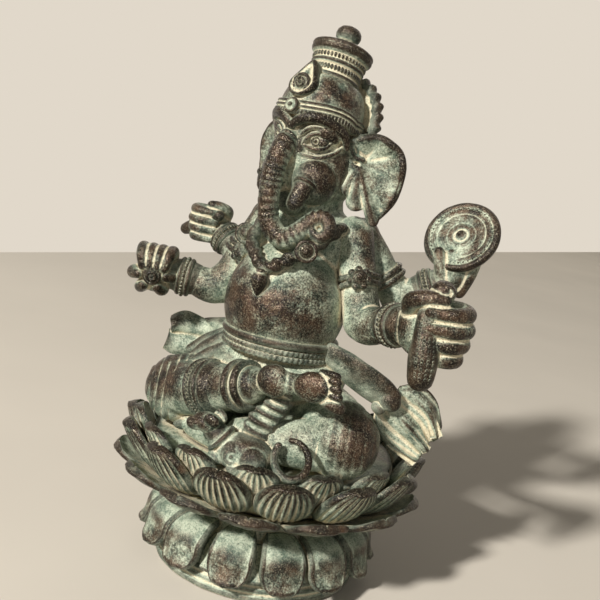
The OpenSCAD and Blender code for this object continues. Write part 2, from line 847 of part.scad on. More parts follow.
module left_sash() {
    sash([[14, -16, seat_z + 52, 4, 3], [26, -14, seat_z + 50, 5, 3], [38, -11, seat_z + 45, 6, 3.5],
        [48, -5, seat_z + 38, 7, 3.5],
        [58, 1, seat_z + 31, 9, 3.5], [66, 4, seat_z + 24, 10, 3.5], [71, 5, seat_z + 18, 8, 2.5]]);
}

module right_sash() {
    sash([[-12, -4, seat_z + 49, 4, 3], [-24, 0, seat_z + 47, 5, 3], [-36, 3, seat_z + 43, 7, 3.5],
        [-48, 6, seat_z + 39, 8, 3.5],
        [-58, 8, seat_z + 35, 8, 3.5], [-66, 9, seat_z + 32, 5, 2.5]]);
}

garland_r = 2.6;
garland_path = [
    [-18, -12, neck_top - 2], [-15, -27, neck_top - 14], [-8, -38, neck_top - 22], [0, -42, neck_top - 25],
    [8, -38, neck_top - 19], [15, -29, neck_top - 11], [19, -14, neck_top - 1]];

module garland_form(g = 0) {
    tube([for (p = garland_path) concat(p, [garland_r + g, garland_r + g])], 18, 10, [0, 0.3, 1]);
}

module chest_garland() {
    color(bronze) difference() {
        garland_form();
        torso_form(joint_gap);
        head_form(joint_gap);
        trunk_form();
    }
}

module garland_pendant() {
    at = garland_path[3] + [0, -1, -7];
    color(bronze) difference() {
        egg(at + [0, 0, 2], at - [0, 0, 2], 4.5, 3);
        torso_form(joint_gap);
        garland_form(joint_gap);
    }
}

module garland_rosettes() {
    color(bronze) for (s = [-1, 1]) difference() {
        ball(s > 0 ? [15.5, -37.8, neck_top - 11] : [-22.7, -20, neck_top - 12], [4, 4, 4]);
        torso_form(joint_gap);
        garland_form(joint_gap);
        arm_form(s, shoulder, s > 0 ? left_elbow : right_elbow,
            s > 0 ? left_wrist : right_wrist, joint_gap);
    }
}

// Mouse on the seat in front of the crossed legs
mouse_at = [8, -knee_y - 24, seat_z + 8];

module mouse_form(g = 0) {
    ball(mouse_at, [14 + g, 9 + g, 9 + g], [0, 0, 10]);
}

module mouse_body() {
    color(bronze) difference() {
        mouse_form();
        left_leg_form(joint_gap);
        below_seat();
    }
}

module mouse_head() {
    at = mouse_at + [-13, -3, 7];
    color(bronze) difference() {
        union() {
            ball(at, [7, 5.5, 6]);
            for (s = [-1, 1]) ball(at + [3, s * 4.5, 4], [2.5, 3.5, 3.5]);
        }
        mouse_form(joint_gap);
    }
}

module mouse_tail() {
    at = mouse_at + [21, 2, 4];
    curl = [for (k = [0:7]) concat(at + [(8 - k * 0.4) * cos(215 + 42 * k), -0.5 * k,
        (8 - k * 0.4) * sin(215 + 42 * k)],
        [2.2 - k * 0.1, 2.2 - k * 0.1])];
    color(bronze) difference() {
        tube(concat([concat(mouse_at + [8, -2, -3], [2.4, 2.4])], curl), 24, 8, [0, 1, 0]);
        mouse_form(joint_gap);
        left_leg_form(joint_gap);
        below_seat();
    }
}

base_plate();
foot_ring();
throne_core();
seat_plate();
lower_petals_front();
lower_petals_back();
bloom_petals_outer();
bloom_petals_main();
bloom_petals_inner();
clamp_stud();
clamp_washer();
clamp_nut();
dowel_pins();
torso();
waist_belt();
left_leg();
right_leg();
left_foot();
right_foot();
anklets();
lap_pleats();
left_sash();
right_sash();
chest_garland();
garland_pendant();
garland_rosettes();
head();
trunk();
tusk(1);  // left_tusk
tusk(-1);  // right_tusk
ear(1);  // left_ear
ear(-1);  // right_ear
headband();
crown_dome();
crown_jewel();
crown_tier();
crown_finial();
crown_aureole();
arm(1, shoulder, left_elbow, left_wrist);  // front_left_arm
arm(-1, shoulder, right_elbow, right_wrist);  // front_right_arm
arm(1, rear_shoulder, rear_elbow, rear_wrist);  // rear_left_arm
arm(-1, rear_shoulder, rear_elbow, rear_wrist);  // rear_right_arm
bracelet(1, left_elbow, left_wrist);  // front_left_bracelet
bracelet(-1, right_elbow, right_wrist);  // front_right_bracelet
bracelet(1, rear_elbow, rear_wrist);  // rear_left_bracelet
bracelet(-1, rear_elbow, rear_wrist);  // rear_right_bracelet
armlets();
front_left_hand();
front_right_hand();
rear_left_hand();
rear_right_hand();
club();
flower_bud();
lotus_disc();
goad();
mouse_body();
mouse_head();
mouse_tail();
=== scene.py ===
import json
from functools import partial
import bpy
import numpy as np
from mathutils import Euler, Matrix, Vector

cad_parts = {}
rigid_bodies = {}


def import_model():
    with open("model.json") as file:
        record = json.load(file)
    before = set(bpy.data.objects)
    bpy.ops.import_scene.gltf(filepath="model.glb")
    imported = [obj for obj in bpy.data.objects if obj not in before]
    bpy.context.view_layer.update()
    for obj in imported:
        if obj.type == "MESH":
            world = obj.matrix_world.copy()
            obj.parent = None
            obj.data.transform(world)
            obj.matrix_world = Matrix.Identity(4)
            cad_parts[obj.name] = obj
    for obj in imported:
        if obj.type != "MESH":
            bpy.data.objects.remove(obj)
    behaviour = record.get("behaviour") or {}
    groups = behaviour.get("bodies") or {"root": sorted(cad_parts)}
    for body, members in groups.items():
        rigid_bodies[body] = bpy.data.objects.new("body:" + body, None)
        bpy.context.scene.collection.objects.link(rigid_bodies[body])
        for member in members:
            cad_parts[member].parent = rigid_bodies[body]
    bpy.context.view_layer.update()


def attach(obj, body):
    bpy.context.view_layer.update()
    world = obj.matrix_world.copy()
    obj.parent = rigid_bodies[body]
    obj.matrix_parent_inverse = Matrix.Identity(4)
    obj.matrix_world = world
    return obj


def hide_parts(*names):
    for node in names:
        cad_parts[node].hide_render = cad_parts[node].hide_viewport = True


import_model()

mm = 0.001
dice = np.random.default_rng(11)  # small differences between cast petals and folds
full = 2 * np.pi

# shared sizes of the figure, in millimetres
crownZ = 203.5
headTurn = np.radians(-13.0)
crownLean = np.radians(-15.0)
petalCount = 14
petalStep = full / petalCount
bloomTurn = np.radians(6.5)

# the photograph: where it was taken from, and its own axes right, up and toward the viewer
azimuth, elevation, roll = np.radians([23.4, 10.3, 10.4])
aimPoint = np.array([0, 0, 127.0])
viewDistance = 415
toEye = np.array([
    np.sin(azimuth) * np.cos(elevation), -np.cos(azimuth) * np.cos(elevation), np.sin(elevation)])
level = np.array([np.cos(azimuth), np.sin(azimuth), 0.0])
upright = np.cross(toEye, level)
pictureRight = np.cos(roll) * level + np.sin(roll) * upright
pictureUp = -np.sin(roll) * level + np.cos(roll) * upright


# Points at even steps on a smooth curve: every stretch is a cubic through its two ends,
# and the slopes there come from the neighbours.
def smooth(points, count):
    p = np.asarray(points, float)
    u = np.linspace(0, len(p) - 1, count)
    i = np.minimum(u.astype(int), len(p) - 2)
    t = (u - i)[:, None]
    a = p[np.maximum(i - 1, 0)]
    b = p[i]
    c = p[i + 1]
    d = p[np.minimum(i + 2, len(p) - 1)]
    square = (2 * a - 5 * b + 4 * c - d) * t**2
    cube = (3 * b - a - 3 * c + d) * t**3
    return 0.5 * (2 * b + (c - a) * t + square + cube)


# One soft bump: 1 at the middle, falling to nothing a few widths away.
def hump(x, middle, width):
    return np.exp(-((x - middle) / width) ** 2)


# Each direction made one long.
def oneLong(v):
    return v / np.linalg.norm(v, axis=-1, keepdims=True)


# The turn that brings the upright axis onto a direction.
def facing(axis):
    return np.array(Vector(axis).to_track_quat("Z", "Y").to_matrix())


# Even turns round a full circle, and even places on a level circle.
def evenTurns(count):
    return np.linspace(0, full, count, endpoint=False)


def circle(count, radius=1.0, height=0.0):
    a = evenTurns(count)
    return np.stack([radius * np.cos(a), radius * np.sin(a), 0 * a + height], 1)


# Unevenness of a wax model: ten sine waves in random directions, one size long, averaged.
waveRun = oneLong(dice.normal(size=(10, 3)))
waveShift = dice.uniform(0, full, 10)


def lumps(p, size):
    return np.sin(p @ waveRun.T * (full / size) + waveShift).mean(axis=-1)


# Turns every face round if the signed volume of the net comes out negative.
def outward(verts, quads, tris):
    fan = np.vstack([quads[:, [0, 1, 2]], quads[:, [0, 2, 3]], tris])
    corner = verts[fan] - verts.mean(0)
    volume = np.einsum("ij,ij->", corner[:, 0], np.cross(corner[:, 1], corner[:, 2]))
    if volume < 0:
        quads = quads[:, ::-1]
        tris = tris[:, ::-1]
    return verts, quads, tris


# Rows of points, each row a closed loop, as quads; both end loops are drawn to their middle.
def closed(points):
    rows, cols = points.shape[:2]
    ids = np.arange(rows * cols).reshape(rows, cols)
    side = np.roll(ids, -1, axis=1)
    quads = np.stack([ids[:-1], side[:-1], side[1:], ids[1:]], -1).reshape(-1, 4)
    low = np.stack([side[0], ids[0], np.full(cols, rows * cols)], -1)
    high = np.stack([ids[-1], side[-1], np.full(cols, rows * cols + 1)], -1)
    verts = np.vstack([points.reshape(-1, 3), points[0].mean(0), points[-1].mean(0)])
    return outward(verts, quads, np.vstack([low, high]))


# A sheet with two skins: the front grid, the same grid set back by its thickness, and a strip
# of quads round the edge.
def slab(front, thick):
    du = np.gradient(front, axis=0)
    dv = np.gradient(front, axis=1)
    normal = np.cross(du, dv)
    normal /= np.linalg.norm(normal, axis=-1, keepdims=True) + 1e-9
    back = front - normal * thick
    rows, cols = front.shape[:2]
    ids = np.arange(rows * cols).reshape(rows, cols)
    top = np.stack([ids[:-1, :-1], ids[1:, :-1], ids[1:, 1:], ids[:-1, 1:]], -1).reshape(-1, 4)
    loop = np.concatenate([ids[0], ids[1:, -1], ids[-1, -2::-1], ids[-2:0:-1, 0]])
    ahead = np.roll(loop, -1)
    edge = np.stack([loop, ahead, ahead + rows * cols, loop + rows * cols], -1)
    quads = np.vstack([top, top[:, ::-1] + rows * cols, edge])
    return outward(np.vstack([front.reshape(-1, 3), back.reshape(-1, 3)]), quads, np.empty((0, 3), int))


# An oval carried along a smooth path, with quarter-round ends; wave(s, angle) swells it.
def tube(points, radii, rings=40, sides=18, ref=(0.3, 1.0, 0.2), wave=None):
    path = smooth(points, rings)
    size = smooth(np.asarray(radii, float).reshape(len(radii), -1) * np.ones((1, 2)), rings)
    run = oneLong(np.gradient(path, axis=0))
    bend = np.radians([12.0, 35.0, 62.0])[:, None]
    low = path[:1] - run[:1] * size[0].min() * np.cos(bend)
    high = path[-1:] + run[-1:] * size[-1].min() * np.cos(bend[::-1])
    path = np.vstack([low, path, high])
    run = np.vstack([run[:1].repeat(3, 0), run, run[-1:].repeat(3, 0)])
    size = np.vstack([size[:1] * np.sin(bend), size, size[-1:] * np.sin(bend[::-1])])
    side = oneLong(np.cross(np.asarray(ref, float), run))
    lift = np.cross(run, side)
    angle = evenTurns(sides)
    swell = np.ones((len(path), sides))
    if wave:
        s = np.clip((np.arange(len(path)) - 3) / (rings - 1), 0, 1)
        swell = wave(s[:, None], angle[None])
    across = side[:, None] * (size[:, :1] * np.cos(angle) * swell)[..., None]
    upward = lift[:, None] * (size[:, 1:] * np.sin(angle) * swell)[..., None]
    return closed(path[:, None] + across + upward)


# A ring of tube: a circle about the axis, squashed one way by flat; wave(a, b) swells the cord.
def ring(centre, axis, radius, size, around=72, sides=12, wave=None, flat=1.0):
    turn = facing(axis)
    a = evenTurns(around)[:, None]
    b = evenTurns(sides)[None]
    swell = wave(a, b) if wave else 1.0
    r = radius + size * np.cos(b) * swell
    points = np.stack([r * np.cos(a), flat * r * np.sin(a), size * np.sin(b) * swell + 0 * a], -1)
    rows, cols = points.shape[:2]
    ids = np.arange(rows * cols).reshape(rows, cols)
    nextRow = np.roll(ids, -1, axis=0)
    quads = np.stack([ids, nextRow, np.roll(nextRow, -1, axis=1), np.roll(ids, -1, axis=1)], -1)
    verts = points.reshape(-1, 3) @ turn.T + np.asarray(centre, float)
    return verts, quads.reshape(-1, 4), np.empty((0, 3), int)


# A ball stretched along three turned axes.
def egg(centre, radii, turn=(0, 0, 0), rows=18, cols=28):
    tilt = np.radians(np.linspace(-87, 87, rows))[:, None]
    angle = evenTurns(cols)[None]
    unit = np.stack([
        np.cos(tilt) * np.cos(angle), np.cos(tilt) * np.sin(angle), np.sin(tilt) + 0 * angle], -1)
    spin = np.array(Euler(np.radians(turn)).to_matrix())
    return closed((unit * np.asarray(radii, float)) @ spin.T + np.asarray(centre, float))


# A profile of [radius, height] turned round the upright axis; flute(angle, row) swells it.
def lathe(profile, cols=96, flute=None):
    p = np.asarray(profile, float)
    angle = evenTurns(cols)[None]
    r = p[:, :1] * (flute(angle, np.arange(len(p))[:, None]) if flute else 1.0)
    points = np.stack([r * np.cos(angle), r * np.sin(angle), p[:, 1:] + 0 * angle], -1)
    return closed(points)


# Many small beads: one coarse ball copied to each place and stretched by the given size.
def beads(places, size):
    verts, quads, tris = egg((0, 0, 0), (1, 1, 1), rows=5, cols=8)
    places = np.asarray(places, float)
    shift = (np.arange(len(places)) * len(verts))[:, None, None]
    spread = places[:, None] + verts[None] * np.asarray(size, float)
    return spread.reshape(-1, 3), (quads[None] + shift).reshape(-1, 4), (tris[None] + shift).reshape(-1, 3)


# Several nets laid together as one: each one's point numbers follow those before it.
def join(*parts):
    starts = np.cumsum([0] + [len(p[0]) for p in parts])
    verts = np.vstack([p[0] for p in parts])
    quads = np.vstack([p[1] + k for p, k in zip(parts, starts)])
    tris = np.vstack([p[2] + k for p, k in zip(parts, starts)])
    return verts, quads, tris


# The same net with every point put through a placing function.
def moved(part, place):
    return place(part[0]), part[1], part[2]


# The figure's right side is the left one seen in a mirror, so the faces turn round too.
def mirrored(part):
    return part[0] * [-1, 1, 1], part[1][:, ::-1], part[2][:, ::-1]


# The head turns about the upright line through (-1, -4).
def onHead(p):
    p = np.asarray(p, float)
    x = p[..., 0] * np.cos(headTurn) - p[..., 1] * np.sin(headTurn) - 1
    y = p[..., 0] * np.sin(headTurn) + p[..., 1] * np.cos(headTurn) - 4
    return np.stack([x, y, p[..., 2]], -1)


# The crown stands on the brow, 7 in front of the head's axis, and leans back about its foot.
def onCrown(p):
    p = np.asarray(p, float)
    y = p[..., 1] * np.cos(crownLean) - p[..., 2] * np.sin(crownLean) - 7
    z = p[..., 1] * np.sin(crownLean) + p[..., 2] * np.cos(crownLean) + crownZ
    return onHead(np.stack([p[..., 0], y, z], -1))


# sRGB hex to the linear colour that the shader wants
def linear(code):
    c = np.array([int(code[i:i + 2], 16) for i in (1, 3, 5)]) / 255
    c = np.where(c <= 0.04045, c / 12.92, ((c + 0.055) / 1.055) ** 2.4)
    return (*c.tolist(), 1.0)


# adds one node, sets its fields, fills or links its sockets, and gives back one of its outputs
def grow(tree, kind, sockets, out=0, **fields):
    node = tree.nodes.new("ShaderNode" + kind)
    for key, value in fields.items():
        setattr(node, key, value)
    for key, value in sockets.items():
        if isinstance(value, bpy.types.NodeSocket):
            tree.links.new(value, node.inputs[key])
        else:
            node.inputs[key].default_value = value
    return node.outputs[out] if node.outputs else None


# Lost-wax bronze: a dark brown skin that shines where hands rub it, grey-green verdigris in
# patches and speckles, cream lime in the creases, tan metal on a few rubbed edges, and painted
# shade, near-black, in the deepest crevices.
def bronze(name, look):
    mat = bpy.data.materials.new(name)
    mat.use_nodes = True
    mat.node_tree.nodes.clear()
    add = partial(grow, mat.node_tree)
    soft = {"interpolation_type": "SMOOTHSTEP"}

    # a weighted sum: each value times its share, on top of the start
    def total(start, *shares):
        for value, share in shares:
            start = add("Math", {0: value, 1: share, 2: start}, operation="MULTIPLY_ADD")
        return start

    # noises: size in millimetres, detail, roughness
    place = add("TexCoord", {}, "Object")
    noises = (
        (look["patch"], 4.0, 0.6), (0.9, 4.0, 0.7), (0.6, 3.0, 0.7), (7.0, 4.0, 0.65), (16.0, 2.0, 0.5),
        (3.2, 3.0, 0.55))
    patches, speckle, grain, tint, shine, dents = [
        add("TexNoise", {"Vector": place, "Scale": 1 / (size * mm), "Detail": detail, "Roughness": rough})
        for size, detail, rough in noises]
    near, wide, broad = [
        add("AmbientOcclusion", {"Distance": reach * mm}, "AO", samples=6) for reach in (3, 10, 24)]
    carved = 0.5
    if look["carved"]:
        carved = add("Attribute", {}, "Fac", attribute_name="bulge")
    carved = total(carved, (speckle, 0.35), (1.0, -0.175))  # the speckle's middle, 0.5, leaves it as it is

    # soft steps: while the value runs from low to high, the result runs from start to end
    steps = (
        (carved, 0.6, 0.9, 0.0, 1.0), (carved, 0.16, 0.44, 1.0, 0.0), (near, 0.3, 0.9, 1.0, 0.0),
        (near, 0.08, 0.36, 0.85, 0.0), (wide, 0.2, 0.85, 1.0, 0.0), (broad, 0.35, 0.95, 1.0, 0.0),
        (tint, 0.36, 0.64, 0.0, 1.0), (shine, 0.64, 0.78, 0.0, 0.3),
        (grain, 0.54, 0.64, 0.0, look["dust"]), (grain, 0.38, 0.46, look["pits"], 0.0))
    names = ("Value", "From Min", "From Max", "To Min", "To Max")
    ridge, cut, crease, deep, hollow, sheltered, warmth, polish, dust, pits = [
        add("MapRange", dict(zip(names, step)), **soft) for step in steps]
    groove = add("Math", {0: cut, 1: crease}, operation="MAXIMUM")

    # green thickens from the open middle of a form toward its sheltered edges, and is rubbed off the ridges
    amount = total(
        0.0, (patches, 0.8), (speckle, 0.5), (groove, 0.2), (sheltered, 0.6), (ridge, -look["worn"]))
    greenRange = {"Value": amount, "From Min": look["start"], "From Max": look["start"] + 0.3}
    green = add("MapRange", greenRange, **soft)
    lime = total(0.0, (groove, 0.5), (hollow, 0.42), (speckle, 0.6), (ridge, -0.4))
    limeRange = {"Value": lime, "From Min": look["lime"], "From Max": look["lime"] + 0.24, "To Max": 0.82}
    cream = add("MapRange", limeRange, **soft)
    mottle = total(0.0, (tint, 0.55), (speckle, 0.45))
    bloom = add("MapRange", {"Value": mottle, "From Min": 0.38, "From Max": 0.62}, **soft)
    verdigris = {0: bloom, 6: linear(look["green"]), 7: linear(look["mint"])}
    rubbed = add("Math", {0: ridge, 1: polish}, operation="MULTIPLY")
    # dark casting pits, joined with painted shade: near-black where the deepest crevices sit close under
    # other parts
    pitsAndShade = add("Math", {0: pits, 1: deep}, operation="MAXIMUM")

    # layers from the metal up: how much of each, and its colour
    layers = (
        (warmth, linear(look["brown"])), (green, add("Mix", verdigris, 2, data_type="RGBA")),
        (total(0.0, (ridge, look["bare"])), linear(look["dark"])), (cream, linear("#d8cdb0")),
        (rubbed, linear("#886347")), (dust, linear("#bcb69c")), (pitsAndShade, linear("#15120f")))
    colour = linear(look["dark"])
    for share, layer in layers:
        colour = add("Mix", {0: share, 6: colour, 7: layer}, 2, data_type="RGBA")

    crust = add("Math", {0: green, 1: cream}, operation="MAXIMUM")
    dull = total(look["rough"], (crust, 0.3), (speckle, 0.16))
    metal = total(0.5, (crust, -0.5))
    height = total(0.0, (speckle, 0.5), (grain, 0.22), (dents, 1.2), (green, 0.12))
    bump = add("Bump", {"Strength": 0.8, "Distance": 0.7 * mm, "Height": height})
    shader = add("BsdfPrincipled", {
        "Base Color": colour, "Roughness": dull, "Metallic": metal, "Normal": bump,
        "Specular IOR Level": 0.3})
    add("OutputMaterial", {"Surface": shader})
    return mat


darkLook = {
    "patch": 12.0, "start": 0.66, "lime": 0.6, "rough": 0.15, "dust": 0.34, "worn": 0.18, "bare": 0.6,
    "pits": 0.85, "dark": "#130f0b", "brown": "#473629", "green": "#5a6e5f", "mint": "#bcc7b0",
    "carved": True}
greenLook = {
    "patch": 12.0, "start": 0.56, "lime": 0.6, "rough": 0.25, "dust": 0.26, "worn": 0.2, "bare": 0.6,
    "pits": 0.5, "dark": "#1a1510", "brown": "#4c3c2e", "green": "#5a6d5f", "mint": "#bdc7b1",
    "carved": True}
# turned steel of the hidden hardware: the same skin, too clean for green or lime
steelLook = {
    "patch": 20.0, "start": 1.8, "lime": 1.8, "rough": 0.25, "dust": 0.1, "worn": 0.1, "bare": 0.1,
    "pits": 0.3, "dark": "#6f7072", "brown": "#8a8b8d", "green": "#777a78", "mint": "#8a8d8b",
    "carved": False}
skins = {"dark_bronze": bronze("darkBronze", darkLook), "green_bronze": bronze("greenBronze", greenLook)}
keptSkins = {
    "green_bronze": bronze("plainBronze", greenLook | {"carved": False}),
    "steel": bronze("steel", steelLook)}
print("materials ready")


# How far a point stands above the same net smoothed over about 1.8, along its normal:
# 0.5 on flat skin, 1 on a ridge 0.4 high, 0 in a groove that deep.
def bulge(mesh, points):
    count = len(points)
    ends = np.empty(len(mesh.edges) * 2, np.int32)
    mesh.edges.foreach_get("vertices", ends)
    a, b = ends.reshape(-1, 2).T
    degree = np.maximum(np.bincount(ends, minlength=count), 1)[:, None]
    span = np.linalg.norm(points[a] - points[b], axis=1).mean()
    flat = points
    for k in range(int(np.clip(2 * (1.8 / span) ** 2, 6, 40))):
        total = [np.bincount(a, flat[b, i], count) + np.bincount(b, flat[a, i], count) for i in range(3)]
        flat = 0.5 * flat + 0.5 * np.stack(total, 1) / degree
    mesh.update()
    normals = np.empty(count * 3)
    mesh.vertex_normals.foreach_get("vector", normals)
    high = ((points - flat) * normals.reshape(-1, 3)).sum(1)
    return 0.5 + np.clip(high / 0.8, -0.5, 0.5)


# Makes the object from a part: fuses it with a voxel net if asked, softens the net, then
# pushes every point along its normal by relief(p), all in millimetres.
def piece(info, part, relief=None):
    verts, quads, tris = part
    mesh = bpy.data.meshes.new(info["name"])
    mesh.vertices.add(len(verts))
    mesh.vertices.foreach_set("co", (verts * mm).ravel())
    corners = np.concatenate([quads.ravel(), tris.ravel()])
    mesh.loops.add(len(corners))
    mesh.loops.foreach_set("vertex_index", corners.astype(np.int32))
    starts = np.concatenate([np.arange(len(quads)) * 4, len(quads) * 4 + np.arange(len(tris)) * 3])
    mesh.polygons.add(len(starts))
    mesh.polygons.foreach_set("loop_start", starts.astype(np.int32))
    mesh.update(calc_edges=True)
    obj = bpy.data.objects.new(info["name"], mesh)
    bpy.context.scene.collection.objects.link(obj)
    if "voxel" in info:
        net = obj.modifiers.new("fuse", "REMESH")
        net.mode = "VOXEL"
        net.voxel_size = info["voxel"] * mm
        soft = obj.modifiers.new("soften", "SMOOTH")
        soft.factor = 0.5
        soft.iterations = info["soften"]
        graph = bpy.context.evaluated_depsgraph_get()
        obj.data = bpy.data.meshes.new_from_object(obj.evaluated_get(graph))
        obj.modifiers.clear()
        bpy.data.meshes.remove(mesh)
        mesh = obj.data
    count = len(mesh.vertices)
    points = np.empty(count * 3)
    normals = np.empty(count * 3)
    mesh.vertices.foreach_get("co", points)
    mesh.vertex_normals.foreach_get("vector", normals)
    points = points.reshape(-1, 3) / mm
    # broad and fine lumps of the wax
    push = info.get("lump", 0.12) * lumps(points, 9.0) + 0.05 * lumps(points, 2.7)
    if relief:
        push = push + relief(points)
    points = points + normals.reshape(-1, 3) * push[:, None]
    mesh.vertices.foreach_set("co", (points * mm).ravel())
    # pale pieces keep more of their crust
    worn = np.clip(bulge(mesh, points) - info.get("pale", 0.0), 0, 1).astype(np.float32)
    mesh.attributes.new("bulge", "FLOAT", "POINT").data.foreach_set("value", worn)
    mesh.polygons.foreach_set("use_smooth", np.ones(len(mesh.polygons), bool))
    mesh.update()
    mesh.materials.clear()
    mesh.materials.append(skins[info["slot"]])
    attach(obj, "root")
    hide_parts(*info["nodes"])
    return obj


# The foot under the throne: a stepped ring turned from the wax.
footRing = {"name": "footRing", "nodes": ["foot_ring"], "slot": "green_bronze", "pale": 0.1, "lump": 0.25}
footProfile = [
    [39.5, 0.2], [47.2, 0.2], [47.9, 0.8], [47.9, 2.6], [47.0, 3.2], [46.6, 3.9], [47.0, 4.5],
    [47.3, 5.2], [46.9, 5.9], [46.0, 6.3], [45.4, 7.0], [45.6, 7.8], [45.0, 8.6], [43.5, 9.0], [39.5, 9.0]]
piece(footRing, lathe(footProfile, cols=180))


# A petal: the middle line runs through [radius, height], the half width swells from the root to
# the shoulder and closes on the tip like a half circle. Across it the skin is a blunt lens, and
# the front carries ribs that fade at both ends, a raised rim and a hooked tip.
def petal(row, turn):
    rows = row["rows"]
    u = np.linspace(0, 1, rows)
    line = smooth(row["line"], rows)
    line[:, 1] += dice.normal(0, 0.35) * u
    line[:, 0] += dice.normal(0, 0.45) * u**2
    run = oneLong(np.gradient(line, axis=0))
    out = np.stack([run[:, 1], -run[:, 0]], 1) * row.get("face", 1)
    shoulder = row["shoulder"]
    grown = row["root"] + (1 - row["root"]) * np.sin(np.pi / 2 * np.minimum(u / shoulder, 1))
    late = np.clip((u - shoulder) / (1 - shoulder), 0, 1)
    narrowed = np.sqrt(np.maximum(1 - late ** row["tip"], 0.004))
    width = row["width"] * dice.uniform(0.94, 1.03) * grown * narrowed
    half = np.linspace(-1, 1, row["cols"])
    v = np.concatenate([half, half[-2:0:-1]])
    front = np.concatenate([np.ones(len(half)), np.zeros(len(half) - 2)])
    face = np.where(front > 0, 1.0, -1.0)
    thick = row["thick"] / 2 * np.sqrt(np.maximum(1 - np.abs(v) ** 5, 0))
    fade = np.sin(np.pi * np.clip(u * 1.04, 0, 1))[:, None] ** 0.6
    rib = row["rib"] * (0.5 + 0.5 * np.cos(np.pi * row["ribs"] * v)) * (1 - v**4) * fade
    rim = row["rim"] * (hump(np.abs(v), 0.88, 0.1) + 0.9 * hump(u, 0.93, 0.06)[:, None] * (1 - v**6))
    raised = face * thick + front * (rib + rim) - row["cup"] * v**2
    hook = row["hook"] * late[:, None] ** 2.5
    radius = line[:, :1] + out[:, :1] * (raised + hook)
    height = line[:, 1:] + out[:, 1:] * (raised + hook)
    angle = turn + v * (width / line[:, 0])[:, None]
    return closed(np.stack([radius * np.sin(angle), -radius * np.cos(angle), height], -1))


# Petals at even turns round the throne, each a little off its place.
def petalRing(info, row):
    turns = bloomTurn + (np.arange(petalCount) + row["shift"]) * petalStep
    return piece(info, join(*[petal(row, t + dice.normal(0, 0.012)) for t in turns]))


bloomMain = {
    "rows": 34, "cols": 41, "line": [[50.6, 42.0], [58.2, 46.6], [64.2, 53.5], [68.0, 59.6], [69.6, 64.2]],
    "width": 14.4, "root": 0.55, "shoulder": 0.42, "tip": 1.7, "thick": 3.0, "ribs": 9, "rib": 1.15,
    "rim": 0.55, "cup": 2.6, "hook": 1.1, "shift": 0.0}
petalRing({"name": "bloomMain", "nodes": ["bloom_petals_main"], "slot": "dark_bronze"}, bloomMain)
bloomInner = {
    "rows": 28, "cols": 35, "line": [[57.4, 52.0], [60.0, 57.0], [62.2, 61.4], [63.8, 65.0], [64.8, 67.6]],
    "width": 11.8, "root": 0.55, "shoulder": 0.4, "tip": 1.6, "thick": 2.8, "ribs": 8, "rib": 0.95,
    "rim": 0.5, "cup": 1.9, "hook": 0.9, "shift": 0.5}
petalRing({"name": "bloomInner", "nodes": ["bloom_petals_inner"], "slot": "dark_bronze"}, bloomInner)
bloomOuter = {
    "rows": 30, "cols": 33, "line": [[42.8, 36.6], [52.3, 38.5], [62.0, 41.8], [68.6, 45.2], [71.8, 48.4]],
    "width": 14.2, "root": 0.5, "shoulder": 0.55, "tip": 2.6, "thick": 2.8, "ribs": 5, "rib": 0.3,
    "rim": 0.7, "cup": 1.7, "hook": 0.6, "shift": 0.5}
petalRing({"name": "bloomOuter", "nodes": ["bloom_petals_outer"], "slot": "green_bronze"}, bloomOuter)
lowerFront = {
    "rows": 34, "cols": 33, "line": [[36.9, 28.0], [45.3, 27.2], [51.6, 22.4], [53.2, 15.6], [54.6, 8.6]],
    "width": 11.4, "root": 0.6, "shoulder": 0.6, "tip": 2.6, "thick": 3.0, "ribs": 1, "rib": 0.2,
    "rim": 1.1, "cup": 1.8, "hook": 0.9, "shift": 0.25, "face": -1}
petalRing({"name": "lowerFront", "nodes": ["lower_petals_front"], "slot": "green_bronze", "pale": -0.06},
          lowerFront)
lowerBack = {
    "rows": 22, "cols": 21, "line": [[39.2, 23.5], [42.6, 20.2], [46.8, 14.6], [49.2, 10.0]],
    "width": 6.0, "root": 0.6, "shoulder": 0.55, "tip": 2.4, "thick": 2.8, "ribs": 1, "rib": 0.2,
    "rim": 0.6, "cup": 0.6, "hook": 0.4, "shift": 0.75, "face": -1}
petalRing({"name": "lowerBack", "nodes": ["lower_petals_back"], "slot": "green_bronze"}, lowerBack)

# The seat inside the petals: an uneven cast disc with a rim of fine strokes.
seatTop = {"name": "seatTop", "nodes": ["seat_plate"], "slot": "green_bronze", "lump": 0.4}
seatRadius = np.linspace(54.4, 1, 36)
seatHeight = 59.8 + 0.3 * np.cos(seatRadius / 1.9) * hump(seatRadius, 54, 6)
seatEdge = [[1, 57.3], [55.4, 57.3], [56.2, 58.0], [56.2, 59.2]]
seatProfile = np.vstack([seatEdge, np.stack([seatRadius, seatHeight], 1)])


# 84 waves round the rows of the profile that are near the rim
def rimStrokes(a, i):
    return 1 + 0.004 * np.cos(84 * a) * ((i > 0) & (i < 9))


piece(seatTop, lathe(seatProfile, cols=252, flute=rimStrokes))
print("throne ready")

# The body: hips, belly, chest and shoulders as balls fused under one skin.
torso = {
    "name": "bodySkin", "nodes": ["torso"], "slot": "dark_bronze", "voxel": 0.8, "soften": 8, "lump": 0.2}
torsoParts = [
    egg((0, -2, 84), (30, 24, 26)), egg((0, -15, 126.5), (27, 28, 28.5), rows=40, cols=60),
    egg((0, -3, 153), (25, 17, 21)), egg((17, -2, 160), (10, 9, 8)), egg((-17, -2, 160), (10, 9, 8)),
    egg((0, -12, 97), (33, 23, 14)), tube([(0, -2, 158), (0, -3, 172)], [13, 13], rings=8)]
piece(torso, join(*torsoParts))

# The belt under the belly: a smooth rim, then two thin cords cut with slanting strokes.
belt = {"name": "waistBelt", "nodes": ["waist_belt"], "slot": "green_bronze", "pale": 0.22, "lump": 0.1}
cord = {"strokes": 70, "depth": 0.14}


# the cord swells with the cosine of its own angle less a multiple of the angle round the waist
def hatched(a, b):
    return 1 + cord["depth"] * np.cos(b - cord["strokes"] * a)


